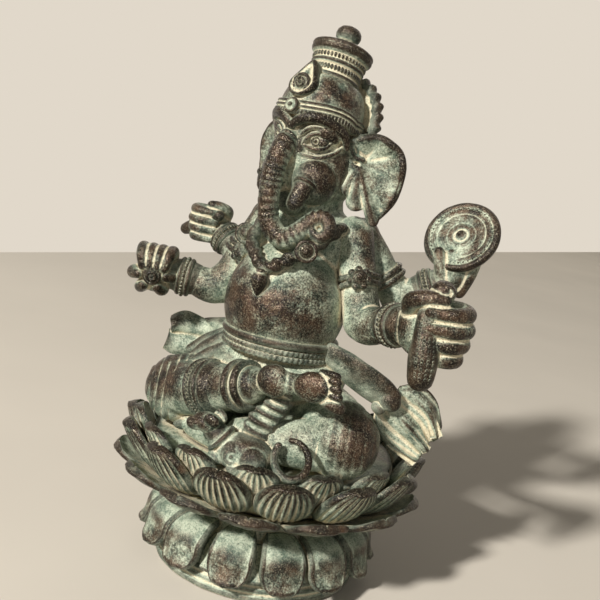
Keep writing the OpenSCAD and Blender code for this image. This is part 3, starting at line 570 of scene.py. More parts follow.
beltParts = [
    ring((0, -14.4, 112.6), (0, 0.05, 1), 24.4, 1.9, around=180, flat=1.05),
    ring((0, -13.8, 109.2), (0, 0.05, 1), 24.2, 1.4, around=420, flat=1.05, wave=hatched),
    ring((0, -13.2, 106.4), (0, 0.05, 1), 24.4, 1.5, around=420, flat=1.05, wave=hatched)]
piece(belt, join(*beltParts))


# The legs: thigh and shin fused, the cloth engraved as stripes that follow the knee. A stripe is
# a groove at every gap along a slanting line, and there are none nearer the middle than start.
def stripes(p, start, gap, depth):
    along = p[:, 0] * 0.8 + p[:, 1] * 0.35
    return -depth * hump((along / gap) % 1, 0.5, 0.16) * (np.abs(p[:, 0]) > start)


legLook = {"slot": "dark_bronze", "voxel": 0.7, "soften": 6, "lump": 0.2}
rightLeg = {"name": "rightLeg", "nodes": ["right_leg"]} | legLook
rightThigh = tube([(-12, 0, 77), (-26, -10, 77), (-41, -24, 77)], [19, 18, 16.5], rings=24, sides=36)
rightShin = tube(
    [(-43, -27, 78), (-28, -33, 82), (-12, -37, 88), (2, -41, 94)], [13, 12, 10.5, 8.5], rings=40, sides=36)
piece(rightLeg, join(rightThigh, rightShin), lambda p: stripes(p, 37, 3.2, 0.5))
leftLeg = {"name": "leftLeg", "nodes": ["left_leg"]} | legLook
leftThigh = tube([(12, 0, 77), (26, -10, 77), (41, -24, 77)], [19, 18, 17], rings=24, sides=36)
leftShin = tube(
    [(42, -27, 76), (26, -34, 73), (12, -38, 72), (2, -40, 71)], [12.5, 10.5, 9, 8], rings=40, sides=36)
leftKnee = egg((42.5, -26, 77), (16, 16.5, 16))
piece(leftLeg, join(leftThigh, leftShin, leftKnee), lambda p: stripes(p, 37, 3.4, 0.3))

# The sole of the right foot faces out: heel, ball, five toes stacked with the big one lowest.
rightFoot = {
    "name": "rightFoot", "nodes": ["right_foot"], "slot": "dark_bronze", "pale": 0.12,
    "voxel": 0.45, "soften": 3}
footParts = [
    egg((15.4, -47.4, 100.8), (7.4, 4.8, 7.0)), egg((33.8, -48.8, 103.4), (8.6, 4.2, 6.4), (0, -8, 0)),
    tube([(6, -43, 97), (15, -45, 100), (24.5, -46.2, 101.6), (34, -47, 103), (40, -47, 103.6)],
         [(5, 5.5), (4.2, 5.4), (3.4, 4.6), (3.6, 5.6), (3.4, 6.0)], rings=36, ref=(0, 0, 1))]
toeSizes = [2.7, 1.9, 1.8, 1.7, 1.6]
toeHeights = [98.2, 102.2, 105.2, 108.0, 110.6]
for size, height in zip(toeSizes, toeHeights):
    reach = 46.4 - 0.25 * (height - 98.2)
    toe = [(reach - 8, -46.5, height * 0.9 + 10.2), (reach - 2.5, -49.4, height + 0.3),
           (reach, -49.2, height)]
    footParts.append(tube(toe, [size * 0.9, size * 0.92, size], rings=14, sides=14))
piece(rightFoot, join(*footParts))
leftFoot = {"name": "leftFoot", "nodes": ["left_foot"], "slot": "dark_bronze", "voxel": 0.5, "soften": 3}
leftFootPath = [(8, -39, 67), (-8, -40, 66.5), (-22, -36, 66), (-32, -31, 65.5)]
leftFootParts = [tube(leftFootPath, [(5, 6), (5, 6.5), (4.5, 6), (3, 4.5)], rings=30, ref=(0, 0, 1))]
for k in range(5):
    toe = (-30 - k * 0.4, -36.5 + k * 2.4, 65.2)
    leftFootParts.append(egg(toe, (4.2 - 0.3 * k, 1.8, 2.4 - 0.15 * k), (0, 0, 25)))
piece(leftFoot, join(*leftFootParts))

# Two anklets, and the dotted hem of the cloth over the right shin.
anklets = {"name": "ankletRings", "nodes": ["anklets"], "slot": "dark_bronze"}
shinRun = np.array([44.0, -14.0, 17.0])
hemRing = circle(46) @ facing(shinRun).T
ankletParts = [
    ring((1.4, -40.6, 93.6), shinRun, 9.2, 1.8), ring((-3.2, -39.2, 91.8), shinRun, 9.9, 1.7),
    ring((-22.5, -34.2, 84.2), shinRun, 12.4, 1.0), ring((-17.6, -35.6, 86.0), shinRun, 12.0, 1.0),
    tube([(-22.5, -34.2, 84.2), (-17.6, -35.6, 86.0)], [12.3, 12.0], rings=8, sides=40),
    beads(hemRing * 12.4 + np.array([-21.2, -34.6, 84.7]), 0.6),
    beads(hemRing * 12.2 + np.array([-18.9, -35.2, 85.5]), 0.6)]
piece(anklets, join(*ankletParts))

# The edge of the cloth, gathered under the foot: a slanting strip of stacked folds.
pleats = {"name": "lapPleats", "nodes": ["lap_pleats"], "slot": "green_bronze", "pale": -0.22, "lump": 0.25}
fallU = np.linspace(0, 1, 110)[:, None]
fallV = np.linspace(-1, 1, 40)[None]
fallPath = [
    (20, -43, 95), (17.5, -45.5, 89), (14, -48, 83), (11.5, -49.5, 76), (12, -50, 68), (12.5, -50.5, 61)]
fallMiddle = smooth(fallPath, 110)
fallAcross = np.array([0.82, 0.25, -0.5])
fallOut = np.array([0.3, -0.93, 0.1])
fallWide = 3.0 + 3.0 * np.sin(np.pi * fallU) + 0.5 * np.cos(full * 9 * fallU)
fold = 0.8 * np.cos(full * 9 * fallU + 2.0 * fallV + np.sin(7 * fallU)) - 1.8 * fallV**2
fallPoints = fallMiddle[:, None] + fallAcross * (fallWide * fallV)[..., None] + fallOut * fold[..., None]
piece(pleats, slab(fallPoints, 2.6))

# The left sash: a band from the belt to a knot, then a fan of cloth with a ruffled edge.
leftSash = {"name": "leftSash", "nodes": ["left_sash"], "slot": "green_bronze", "pale": 0.18, "lump": 0.3}
bandPath = [(14, -18, 111.5), (26, -16.5, 109.5), (38, -13.5, 104.5), (48, -9, 99), (54, -6.5, 95.4)]
bandSize = [(4.6, 2.6), (6.6, 2.8), (7.8, 3), (7.8, 3.3), (6, 3.6)]
band = tube(bandPath, bandSize, rings=40, sides=24, ref=(0, 1, 0.3))
knot = [egg((54, -8, 95.4), (5.2, 4.2, 4.6), (0, 30, 20)), egg((50, -9, 91.4), (3.4, 3, 3), (0, 20, 0))]
fanU = np.linspace(0, 1, 50)[:, None]
fanV = np.linspace(0, 1, 84)[None]
fanLeft = smooth([(-13.4, 4.3), (-12.0, -2.9), (-4.8, -11.0), (4.8, -17.7)], 50)
fanRight = smooth([(-2.4, 16.3), (6.7, 16.7), (14.4, 9.1), (15.9, -3.0)], 50)
fanFlat = fanLeft[:, None] + (fanRight - fanLeft)[:, None] * fanV[..., None]
scallop = 1.2 * np.abs(np.sin(np.pi * 3.5 * fanV)) * fanU**3
ruffle = (0.5 + 2.2 * fanU) * np.cos(full * 2.4 * fanV + 0.6)
ruffle = ruffle + 0.45 * np.cos(full * 8 * fanV + 1.4 * np.sin(5 * fanU)) * fanU
ruffle = ruffle - 3.0 * fanU**2 - 2.0 * (2 * fanV - 1) ** 2
fanPoints = np.array([61.5, -2.0, 86.0]) + fanFlat[..., :1] * pictureRight + fanFlat[..., 1:] * pictureUp
fanPoints = fanPoints + toEye * ruffle[..., None] + (pictureRight - pictureUp) * 0.7 * scallop[..., None]
piece(leftSash, join(band, *knot, slab(fanPoints, 3.4)))

# The right sash lies back over the hip, flares into two folds, and falls over the thigh.
rightSash = {"name": "rightSash", "nodes": ["right_sash"], "slot": "green_bronze", "pale": 0.18, "lump": 0.3}
backPath = [(-12, -10, 110), (-24, -4, 107.5), (-36, 1, 103.5), (-47, 5, 100)]
backBand = tube(
    backPath, [(4, 2.6), (5, 2.8), (6, 3), (6, 2.6)], rings=36, sides=24, ref=(0, 1, 0.3),
    wave=lambda s, a: 1 + 0.07 * np.cos(3 * a))
foldU = np.linspace(0, 1, 44)[:, None]
foldV = np.linspace(0, 1, 64)[None]
foldLow = smooth([(15.8, -7.9), (1.5, -9.9), (-9.9, -10.3), (-15.3, -6.4)], 44)
foldTop = smooth([(14.8, 3.0), (5.4, 6.4), (-3.9, 10.3), (-10.8, 6.9)], 44)
foldFlat = foldLow[:, None] + (foldTop - foldLow)[:, None] * foldV[..., None]
foldLift = (0.5 + 1.9 * foldU) * np.cos(full * 2 * (foldV - 0.24)) + 3.0 * (1 - foldU) ** 2
foldPoints = np.array([-53.0, 3.0, 97.4]) + foldFlat[..., :1] * pictureRight + foldFlat[..., 1:] * pictureUp
foldPoints = foldPoints + toEye * foldLift[..., None]
drapes = [
    tube([(-20, -17, 110), (-27, -17, 104), (-35, -17, 97), (-41, -18, 91)], [2.2, 3.2, 3.6, 2.6], rings=30),
    tube([(-17, -24, 106), (-23, -24, 101), (-30, -24, 96), (-35, -25, 92)], [2.0, 2.8, 3.2, 2.4], rings=30),
    tube([(-22, -9, 110), (-31, -8, 104), (-40, -7, 98), (-48, -8, 92)], [2.2, 3.2, 3.6, 2.6], rings=30)]
piece(rightSash, join(backBand, slab(foldPoints, 3.0), *drapes))
print("body and cloth ready")

# The garland is a rope of two strands, with a bud hanging from its lowest point.
garland = {"name": "chestGarland", "nodes": ["chest_garland"], "slot": "dark_bronze"}
garlandPath = [
    (-18, -12, 164), (-16, -26, 154), (-9, -35, 148.5), (-1, -39.6, 144.6), (8, -37, 150), (15, -30, 156),
    (19, -14, 165)]
rope = tube(garlandPath, [2.7] * 7, rings=260, sides=20, ref=(0, 0.3, 1),
            wave=lambda s, a: 1 + 0.16 * np.cos(2 * a - full * 13 * s))
piece(garland, rope)
pendant = {"name": "garlandPendant", "nodes": ["garland_pendant"], "slot": "dark_bronze"}
budProfile = [
    [0.3, -6.5], [1.2, -5.6], [2.6, -3.2], [3.7, -0.4], [4.0, 1.6], [3.2, 3.4], [2.0, 4.4], [2.2, 5.2],
    [1.4, 6.2]]
bud = lathe(budProfile, cols=36, flute=lambda a, i: 1 + 0.05 * np.cos(6 * a))
piece(pendant, moved(bud, lambda p: 0.92 * p + np.array([-1.4, -42.6, 138.4])))
rosettes = {"name": "garlandRosettes", "nodes": ["garland_rosettes"], "slot": "dark_bronze"}
rosetteParts = []
for centre in ((14.6, -36, 154.6), (-22.7, -20, 154)):
    rosetteParts.append(egg(centre, (4.2, 4.2, 4.2)))
    rosetteParts.append(ring(np.array(centre) + (0.8, -2.2, 0.2), (0.39, -0.9, 0.18), 4.0, 0.9))
    rosetteParts.append(egg(np.array(centre) + (1.2, -3.6, 0.4), (1.7, 1.7, 1.7)))
piece(rosettes, join(*rosetteParts))

# The head: skull, forehead, cheeks, chin and heavy brows fused under one skin.
# the head's pale of -0.2 darkens its skin all over: partly its own dark patina, partly painted shade of the
# cheek under the trunk and brow
head = {
    "name": "headSkin", "nodes": ["head"], "slot": "dark_bronze", "pale": -0.2,
    "voxel": 0.45, "soften": 3, "lump": 0.15}
headParts = [
    egg((0, -2, 190), (19, 20, 23)), egg((0, -15, 197), (8.5, 9, 11)), egg((0, -14, 172), (7.5, 8, 6)),
    tube([(0, 0, 160), (0, 0, 176)], [13, 14], rings=8)]
brow = [(-0.5, -24, 203.5), (1.8, -24, 205.8), (4.7, -23.4, 207.8), (8.2, -22, 208.8), (11.8, -19.6, 208.8),
        (15, -16.4, 207.5), (17.5, -12.5, 205), (18.8, -9.6, 202), (19, -8.4, 198.5)]
browSize = [1.4, 2.0, 2.4, 2.6, 2.6, 2.4, 2.2, 1.9, 1.4]
for side in (1, -1):
    headParts.append(egg((side * 8.5, -13, 183), (10, 10.5, 11)))
    headParts.append(egg((side * 9.5, -11.5, 204), (8.5, 8, 7)))
    headParts.append(egg((side * 10.4, -17, 180.8), (5.4, 5, 5)))
    headParts.append(tube(np.array(brow) * [side, 1, 1], browSize, rings=60))
piece(head, moved(join(*headParts), onHead))

# Eyes: a ball in the socket with a ringed pupil, two lids, a fold above and a fold below.
eyes = {"name": "eyes", "nodes": ["head"], "slot": "dark_bronze", "pale": 0.3, "lump": 0.0}
upperLid = [
    (5.5, -21.6, 197.2), (7, -20.9, 200.1), (9.7, -19.5, 202.3), (12.6, -17, 202.1), (15.1, -13.9, 199.9)]
lowerLid = [
    (5.5, -21.6, 197.2), (8.4, -20.2, 196.2), (11.2, -18.4, 196), (13.8, -15.9, 197.4), (15.1, -13.9, 199.9)]
foldAbove = [
    (3.6, -22.6, 199.4), (5.7, -21.8, 202.6), (8.9, -20.3, 204.9), (12.9, -17.2, 204.9), (16.1, -13, 202.6)]
foldBelow = [
    (3.5, -21.8, 193.4), (7, -20.2, 192.6), (11.7, -17.4, 192.4), (16, -12.2, 195.6), (17.4, -9.4, 198.8)]
eyeLines = [
    (upperLid, [0.6, 1.1, 1.25, 1.1, 0.6]), (lowerLid, [0.6, 1.0, 1.1, 1.0, 0.6]),
    (foldAbove, [0.6, 1.0, 1.1, 1.0, 0.7]), (foldBelow, [0.6, 1.0, 1.1, 1.0, 0.6])]
pupil = np.array([10.4, -19.4, 199.3])
gaze = np.array([0.46, -0.88, 0.05])
eyeParts = [egg((9.9, -15.6, 199.2), (4.8, 3.7, 3.7)), ring(pupil, gaze, 1.7, 0.45, around=30, sides=8),
            egg(pupil, (0.9, 0.9, 0.9), rows=8, cols=12)]
eyeParts += [tube(line, sizes, rings=50, sides=10) for line, sizes in eyeLines]
eyePair = join(join(*eyeParts), mirrored(join(*eyeParts)))
piece(eyes, moved(eyePair, onHead))

# The trunk: an oval tube ringed with skin folds, rolled up at the tip.
trunk = {
    "name": "trunkSkin", "nodes": ["trunk"], "slot": "dark_bronze", "pale": -0.04,
    "voxel": 0.4, "soften": 1, "lump": 0.15}
trunkPath = [
    (-1, -20, 200), (-1.2, -25, 195.5), (-1.2, -28.5, 187), (-1.0, -29.8, 177), (-0.2, -29.6, 168),
    (2, -28.4, 161), (8, -26.4, 157), (14, -23.5, 161.5), (18.5, -20.5, 167.5), (23, -18.8, 168),
    (25.2, -19.2, 163.6), (22.6, -21.2, 160.4), (19.6, -22.6, 162.6)]
trunkSize = [4.6, 4.9, 4.8, 4.6, 4.5, 4.5, 4.5, 4.3, 3.9, 3.5, 3.1, 2.7, 2.2]


# forty folds along it, unevenly set, that slip round the sides, deeper here and there, none at the ends
def skinFolds(s, a):
    depth = (s > 0.04) * (s < 0.86) * (0.35 + 0.65 * np.sin(19 * s + 1) ** 2)
    turn = full * (40 * s + 0.3 * np.sin(31 * s)) + 0.6 * np.cos(a)
    return 1 + 0.05 * np.cos(turn) * depth


snout = tube(trunkPath, trunkSize, rings=300, sides=36, wave=skinFolds)
piece(trunk, moved(snout, onHead))


# A tusk: a blunt stump that hangs from a ring at the lip.
def tusk(reach):
    tip = (10.2 - 0.8 * reach, -21.6 - 3 * reach, 181 - 8.5 * reach)
    stump = tube([(9.4, -14, 184), (10.4, -20.6, 181.8), tip], [4.2, 4.3, 3.8], rings=30, sides=24)
    return join(stump, ring((10.3, -21.2, 181), (0, -0.5, -0.87), 4.5, 0.9))


piece({"name": "leftTusk", "nodes": ["left_tusk"], "slot": "dark_bronze"}, moved(tusk(1.0), onHead))
piece({"name": "rightTusk", "nodes": ["right_tusk"], "slot": "dark_bronze"},
      moved(mirrored(tusk(0.4)), onHead))

# An ear: straight lines from the root to a smooth rim. The upper half is a bowl, the lower half
# has folds that fan from the root and scallop the edge; the rim is a rolled cord that curls in.
earRim = [
    (17.4, -2.8, 201.3), (20.6, -0.6, 203.7), (26.9, 3.5, 205.1), (32.8, 7.3, 202.5), (36.8, 9.5, 197.3),
    (37, 10.4, 187.5), (34.3, 9.8, 178.2), (30.3, 6.7, 169.2), (26.4, 4, 173.6), (20.5, 0.2, 174.6),
    (17.5, -1.8, 179.3), (14.8, -4, 185), (14.2, -4.6, 192), (15.2, -4, 199)]
earRoot = np.array([20.6, -0.2, 192.0])
earBack = np.array([-0.45, 0.88, 0.05])
earU = np.linspace(0, 1, 50)[:, None]
earV = np.linspace(0, 13, 196)[None]  # runs from one rim point to the next
lowPart = np.sin(np.pi * np.clip((earV - 5.4) / 5.6, 0, 1)) ** 0.6
lobes = np.cos(full * (earV - 7.2) / 1.5)
bowl = 4.6 * np.sin(np.pi * earU**0.8) * np.sin(np.pi * np.clip(earV / 6.4, 0, 1)) ** 0.8
earReach = smooth(earRim, 196)[None] - earRoot
earPoints = earRoot + earReach * (earU * (1 + 0.07 * lobes * lowPart * earU**4))[..., None]
earPoints = earPoints + earBack * (bowl - (0.3 + 1.5 * lowPart) * lobes * earU**0.7)[..., None]
curl = np.array([(22.0, 0.6, 195.0), (19.0, -1.8, 195.8), (17.4, -2.8, 198.8)])
earEdge = tube(np.vstack([curl, earPoints[-1, 4:106:12]]), [1.4, 1.8, 2.0, 2.0, 1.9, 1.7, 1.5, 1.3, 1.1],
               rings=200, sides=14)
ear = join(slab(earPoints, 1.9), earEdge)
earLook = {"slot": "green_bronze", "voxel": 0.42, "soften": 1}
piece({"name": "leftEar", "nodes": ["left_ear"]} | earLook, moved(ear, onHead))
rightEar = mirrored((ear[0] * [1, 0.35, 1], ear[1], ear[2]))
piece({"name": "rightEar", "nodes": ["right_ear"]} | earLook, moved(rightEar, onHead))
print("head ready")

# The crown: a band with two ridges over a row of teeth, and a rosette at the front.
headband = {"name": "bandRing", "nodes": ["headband"], "slot": "green_bronze", "lump": 0.08}
bandProfile = [
    [15, -1.2], [18.9, -1.0], [19.5, -0.5], [19.5, 1.5], [19.2, 1.9], [19.6, 2.2], [20.2, 2.7], [20.0, 3.3],
    [19.2, 3.6], [19.5, 4.0], [20.0, 4.5], [19.7, 5.1], [18.8, 5.4], [15, 5.4]]
bandTeeth = beads(circle(76, 19.6, 0.5), (0.62, 0.62, 1.15))
bandBoss = [
    egg((0, -20.6, 2.6), (3.0, 1.6, 3.0)), ring((0, -21.2, 2.6), (0, -1, 0), 2.7, 0.75, around=40, sides=10),
    egg((0, -22.0, 2.6), (1.2, 1.2, 1.2), rows=10, cols=14)]
bandPart = join(lathe(bandProfile, cols=160), bandTeeth, *bandBoss)
bandFront = np.clip(-bandPart[0][:, 1] / 20, 0, 1)
# the band is arched over each eye
bandPart[0][:, 2] += 1.0 + 0.08 * (bandPart[0][:, 1] + 20) + 6 * bandFront * (1 - bandFront)
piece(headband, moved(bandPart, onCrown))
dome = {"name": "crownDome", "nodes": ["crown_dome"], "slot": "dark_bronze", "pale": 0.22, "lump": 0.2}
rise = np.linspace(0, np.pi / 2, 26)
domeProfile = np.stack([11.5 + 7.2 * np.cos(rise), 5 + 16.9 * np.sin(rise)], 1)
piece(dome, moved(lathe(np.vstack([[[15, 4.6]], domeProfile]), cols=120), onCrown))

# The jewel: a drop-shaped plate with a rim, and a ringed boss in its round end.
jewel = {"name": "crownJewel", "nodes": ["crown_jewel"], "slot": "dark_bronze", "pale": -0.1, "lump": 0.05}
dropTurn = evenTurns(80)
dropWide = 6.6 * np.sin(dropTurn) * (1 - 0.42 * np.maximum(np.cos(dropTurn), 0) ** 1.4)
dropTall = 6.6 * np.cos(dropTurn) + 4.6 * np.maximum(np.cos(dropTurn), 0) ** 2.5


# the outline of the drop at one scale and depth, leaning back as it rises
def dropPath(scale, y):
    return np.stack([
        dropWide * scale, 0 * dropTurn + y + 0.24 * dropTall * scale, dropTall * scale + 14.6], 1)


dropPlate = closed(np.stack([dropPath(s, y) for s, y in (
    (0.94, -14.0), (1.0, -18.2), (0.98, -19.6), (0.88, -20.1), (0.78, -19.5), (0.3, -19.3))]))
bossAxis = (0, -1, -0.1)
bossParts = [
    ring((0, -19.8, 13.9), bossAxis, 3.7, 0.75, around=48, sides=10), egg((0, -19.4, 13.9), (3.1, 1.2, 3.1)),
    ring((0, -20.6, 13.9), bossAxis, 1.7, 0.5, around=32, sides=8), egg((0, -20.8, 13.9), (0.8, 0.8, 0.8))]
piece(jewel, moved(join(dropPlate, *bossParts), onCrown))

# The tier: mouldings with two rows of teeth, topped by a bulb.
tier = {"name": "crownTier", "nodes": ["crown_tier"], "slot": "green_bronze", "lump": 0.08}
tierProfile = [
    [6, 21.4], [11.2, 21.6], [12.0, 22.2], [12.2, 23.0], [11.7, 23.8], [10.8, 24.2], [10.6, 25.0],
    [10.6, 27.4], [10.9, 28.0], [11.8, 28.5], [12.0, 29.2], [11.6, 29.9], [11.3, 30.4], [11.5, 32.2],
    [12.4, 33.0], [13.4, 34.0], [13.8, 35.0], [13.6, 36.0], [13.9, 36.6], [13.7, 37.4], [12.4, 38.2],
    [9, 38.8], [5, 39.0]]
tierLow = beads(circle(44, 10.8, 26.2), (0.75, 0.75, 1.3))
tierHigh = beads(circle(44, 11.7, 31.4), (0.6, 0.6, 1.1))
piece(tier, moved(join(lathe(tierProfile, cols=140), tierLow, tierHigh), onCrown))
finial = {"name": "crownFinial", "nodes": ["crown_finial"], "slot": "green_bronze", "lump": 0.15}
finialProfile = [
    [3, 38.4], [4.8, 38.6], [5.0, 39.2], [3.9, 39.9], [3.6, 40.6], [4.3, 41.4], [5.4, 42.8], [5.7, 44.3],
    [5.4, 45.8], [4.4, 47.2], [2.6, 48.1], [0.8, 48.4]]
piece(finial, moved(lathe(finialProfile, cols=64), onCrown))

# The aureole behind the crown: a thin disc whose edge is cut into ribs.
aureole = {"name": "crownAureole", "nodes": ["crown_aureole"], "slot": "green_bronze", "lump": 0.12}
haloFlat = np.arange(1.0, 17.0, 1.5)
haloEdge = [
    [17.5, -2.2], [18.2, -2.9], [20.6, -2.9], [21.6, -1.6], [21.8, 0.0], [21.4, 1.2], [20.2, 2.0],
    [18.4, 2.0], [17.6, 1.2]]
haloProfile = np.vstack([np.stack([haloFlat, 0 * haloFlat - 2.2], 1), haloEdge,
                         np.stack([haloFlat[::-1], 0 * haloFlat + 1.2], 1)])
halo = lathe(haloProfile, cols=208, flute=lambda a, i: 1 + 0.034 * np.cos(26 * a) * ((i > 11) & (i < 19)))
haloStand = moved(halo, lambda p: np.stack([p[:, 0], 14 + p[:, 2], 10 - p[:, 1]], 1))
piece(aureole, moved(haloStand, onCrown))
print("crown ready")

# Arms: shoulder, upper arm, elbow and forearm in one smooth tube.
shoulder = np.array([21.0, -3.0, 161.0])
leftElbow = np.array([36.0, -12.0, 127.0])
leftWrist = np.array([52.0, -22.0, 131.0])
rightElbow = np.array([-36.0, -10.0, 126.0])
rightWrist = np.array([-50.0, -16.0, 127.0])
rearShoulder = np.array([21.0, 7.0, 161.0])
rearElbow = np.array([40.0, 16.0, 137.0])
rearWrist = np.array([51.0, 18.0, 143.0])
flip = np.array([-1.0, 1.0, 1.0])


def arm(info, top, elbow, wrist, girth):
    run = oneLong(wrist - elbow)
    low = elbow + (elbow - top) * 0.02
    path = [top, top + (elbow - top) * 0.4, top + (elbow - top) * 0.8, low + run * 3, wrist - run * 2]
    joints = tube(path, [girth * k for k in (1.12, 1.05, 1.02, 1.08, 0.88)], rings=50, sides=30)
    piece(info, join(joints, egg(elbow, [girth * 1.04] * 3), egg(top, [girth * 1.15] * 3)))


armLook = {"pale": 0.08, "voxel": 0.6, "soften": 6, "lump": 0.18}
arm({"name": "frontLeftArm", "nodes": ["front_left_arm"], "slot": "dark_bronze"} | armLook,
    shoulder, leftElbow, leftWrist, 8.2)
arm({"name": "frontRightArm", "nodes": ["front_right_arm"], "slot": "dark_bronze"} | armLook,
    shoulder * flip, rightElbow, rightWrist, 7.8)
arm({"name": "rearLeftArm", "nodes": ["rear_left_arm"], "slot": "green_bronze"} | armLook,
    rearShoulder, rearElbow, rearWrist, 7.6)
arm({"name": "rearRightArm", "nodes": ["rear_right_arm"], "slot": "green_bronze"} | armLook,
    rearShoulder * flip, rearElbow * flip, rearWrist * flip, 7.6)


# A bracelet: two smooth rings with a row of dots between them.
def bracelet(info, elbow, wrist, size):
    run = oneLong(wrist - elbow)
    dots = circle(30, size + 0.8) @ facing(run).T
    parts = [ring(wrist + run * d, run, size, 1.15) for d in (0.3, 4.4)]
    core = tube([wrist - run * 0.5, wrist + run * 5.5], [size, size], rings=6, sides=36)
    piece(info, join(core, beads(wrist + run * 2.4 + dots, 0.85), *parts))


braceletLook = {"slot": "green_bronze", "pale": 0.18}
bracelet({"name": "frontLeftBracelet", "nodes": ["front_left_bracelet"]} | braceletLook,
         leftElbow, leftWrist, 8.2)
bracelet({"name": "frontRightBracelet", "nodes": ["front_right_bracelet"]} | braceletLook,
         rightElbow, rightWrist, 7.9)
bracelet({"name": "rearLeftBracelet", "nodes": ["rear_left_bracelet"]} | braceletLook,
         rearElbow, rearWrist, 7.4)
bracelet({"name": "rearRightBracelet", "nodes": ["rear_right_bracelet"]} | braceletLook,
         rearElbow * flip, rearWrist * flip, 7.4)

# Armlets: two cords round each upper arm and a rosette on the outer side.
armlets = {"name": "armletCords", "nodes": ["armlets"], "slot": "dark_bronze"}
armletParts = []


# twenty swellings round the arm
def beadedCord(a, b):
    return 1 + 0.12 * np.cos(20 * a)


for top, elbow, spot, size in (
        (shoulder, leftElbow, 0.55, 9.0), (shoulder * flip, rightElbow, 0.5, 8.6),
        (rearShoulder, rearElbow, 0.68, 8.2), (rearShoulder * flip, rearElbow * flip, 0.68, 8.2)):
    run = oneLong(elbow - top)
    middle = top + (elbow - top) * spot
    outer = oneLong(toEye - run * (toEye @ run))
    for d in (-1.6, 1.6):
        armletParts.append(ring(middle + run * d, run, size, 1.3, wave=beadedCord))
    if top[1] > 0:
        continue  # the rear arms have the cords alone
    flower = middle + outer * (size + 0.2)
    armletParts.append(egg(flower, (4.4, 4.4, 4.4), rows=14, cols=20))
    petalSpots = circle(7, 3.8) @ facing(outer).T
    armletParts += [egg(flower + outer * 1.2 + q, (1.7, 1.7, 1.7), rows=8, cols=12) for q in petalSpots]
    armletParts.append(egg(flower + outer * 3.6, (1.9, 1.9, 1.9), rows=10, cols=14))
piece(armlets, join(*armletParts))

# Hands are built on three axes: across the picture, up, and toward the viewer.
acrossAxis = np.array([0.918, 0.397, 0.0])
frontAxis = np.array([0.397, -0.918, 0.0])
upAxis = np.array([0.0, 0.0, 1.0])


def onHand(palm, size, points):
    p = np.asarray(points, float) * size / 16
    return palm + p[:, :1] * acrossAxis + p[:, 1:2] * frontAxis + p[:, 2:] * upAxis


# A closed fist: a palm, four fingers rolled round toward the viewer, a thumb across the top.
def fist(palm, wrist, elbow, size, side):
    k = size / 16
    run = oneLong(wrist - elbow)
    parts = [
        egg(palm - run * 2 * k, (11.5 * k, 10 * k, 12.5 * k)),
        tube([wrist + run * 5.6, palm - run * 4 * k], [size * 0.5, size * 0.56], rings=12, sides=28)]
    for n, reach in enumerate((1.0, 1.06, 1.0, 0.88)):
        z = 9.4 - 6.0 * n
        bend = [(4 * side, -4, z), (11 * reach * side, 0, z + 0.3), (13 * reach * side, 7, z),
                (8 * side, 12.6 * reach, z - 0.3), (-2 * side, 13 * reach, z - 0.6)]
        girths = [3.2 * k, 3.5 * k, 3.6 * k, 3.4 * k, 2.9 * k]
        parts.append(tube(onHand(palm, size, bend), girths, rings=30, sides=18))
    thumb = [(-8 * side, -1, 6), (-9 * side, 6, 11), (-4 * side, 10.5, 13.6), (2 * side, 11.5, 14)]
    parts.append(tube(onHand(palm, size, thumb), [4 * k, 3.8 * k, 3.6 * k, 3.2 * k], rings=24, sides=18))
    return parts


handLook = {"pale": 0.2, "voxel": 0.42, "soften": 2}
leftPalm = np.array([70.2, -30.4, 134.9])
rightPalm = np.array([-64.6, -22.2, 128.0])
rearLeftPalm = np.array([62.8, 20.1, 149.4])
rearRightPalm = rearLeftPalm * flip
leftFist = fist(leftPalm, leftWrist, leftElbow, 16.0, 1)
leftFist.append(egg(leftPalm + acrossAxis * 1.5 + frontAxis * 8 + upAxis * 16.5, (5.2, 5.2, 5.0)))
leftFist.append(ring(leftPalm + acrossAxis * 2.6 + frontAxis * 12 + upAxis * 17.4, toEye, 2.6, 0.7))
frontLeftHand = {"name": "frontLeftHand", "nodes": ["front_left_hand"], "slot": "dark_bronze"} | handLook
piece(frontLeftHand, join(*leftFist))

# The club hangs from the fist: a swelling rod set with rows of dots.
club = {"name": "clubRod", "nodes": ["club"], "slot": "green_bronze", "pale": 0.25}
clubPath = [(72.0, -41.2, 142), (73.0, -42.4, 134), (74.0, -43.0, 126), (74.6, -43.2, 118)]
clubLine = smooth(clubPath, 40)
clubBody = tube(clubPath, [4.2, 5.0, 6.0, 5.4], rings=40, sides=30)
dotRow = np.linspace(0.1, 0.95, 13)
dotAngle = np.radians([-34.0, -12.0, 12.0, 34.0])
dotSpots = []
for share in dotRow:
    centre = clubLine[int(share * 39)]
    girth = np.interp(share, [0, 0.33, 0.66, 1], [4.2, 4.8, 6.0, 5.2])
    sideways = np.sin(dotAngle)[:, None] * acrossAxis + np.cos(dotAngle)[:, None] * frontAxis
    dotSpots.append(centre + sideways * girth)
piece(club, join(clubBody, beads(np.vstack(dotSpots), 0.6)))

# The right fist holds a bud; its fingers close over the top like petals.
rightFist = [
    egg(rightPalm, (10, 8.5, 10.5)),
    tube([rightWrist + (rightWrist - rightElbow) * 0.36, rightPalm], [6.6, 7.2], rings=10, sides=28)]
for n in range(4):
    x = -7.5 + 5.0 * n
    curl = [(x, -2, 8), (x * 1.05, 5, 12.0), (x * 0.95, 12, 9.4), (x * 0.75, 13.6, 3.4)]
    rightFist.append(tube(onHand(rightPalm, 13.6, curl), [2.7, 2.9, 2.8, 2.3], rings=24, sides=16))
for x, z in ((-11, -2), (10, -1), (-6, -9), (5, -9)):
    curl = [(x, 2, z), (x * 1.02, 8, z), (x * 0.7, 12.5, z * 0.8)]
    rightFist.append(tube(onHand(rightPalm, 13.6, curl), [3.1, 3.0, 2.4], rings=16, sides=16))
frontRightHand = {"name": "frontRightHand", "nodes": ["front_right_hand"], "slot": "dark_bronze"} | handLook
piece(frontRightHand, join(*rightFist))
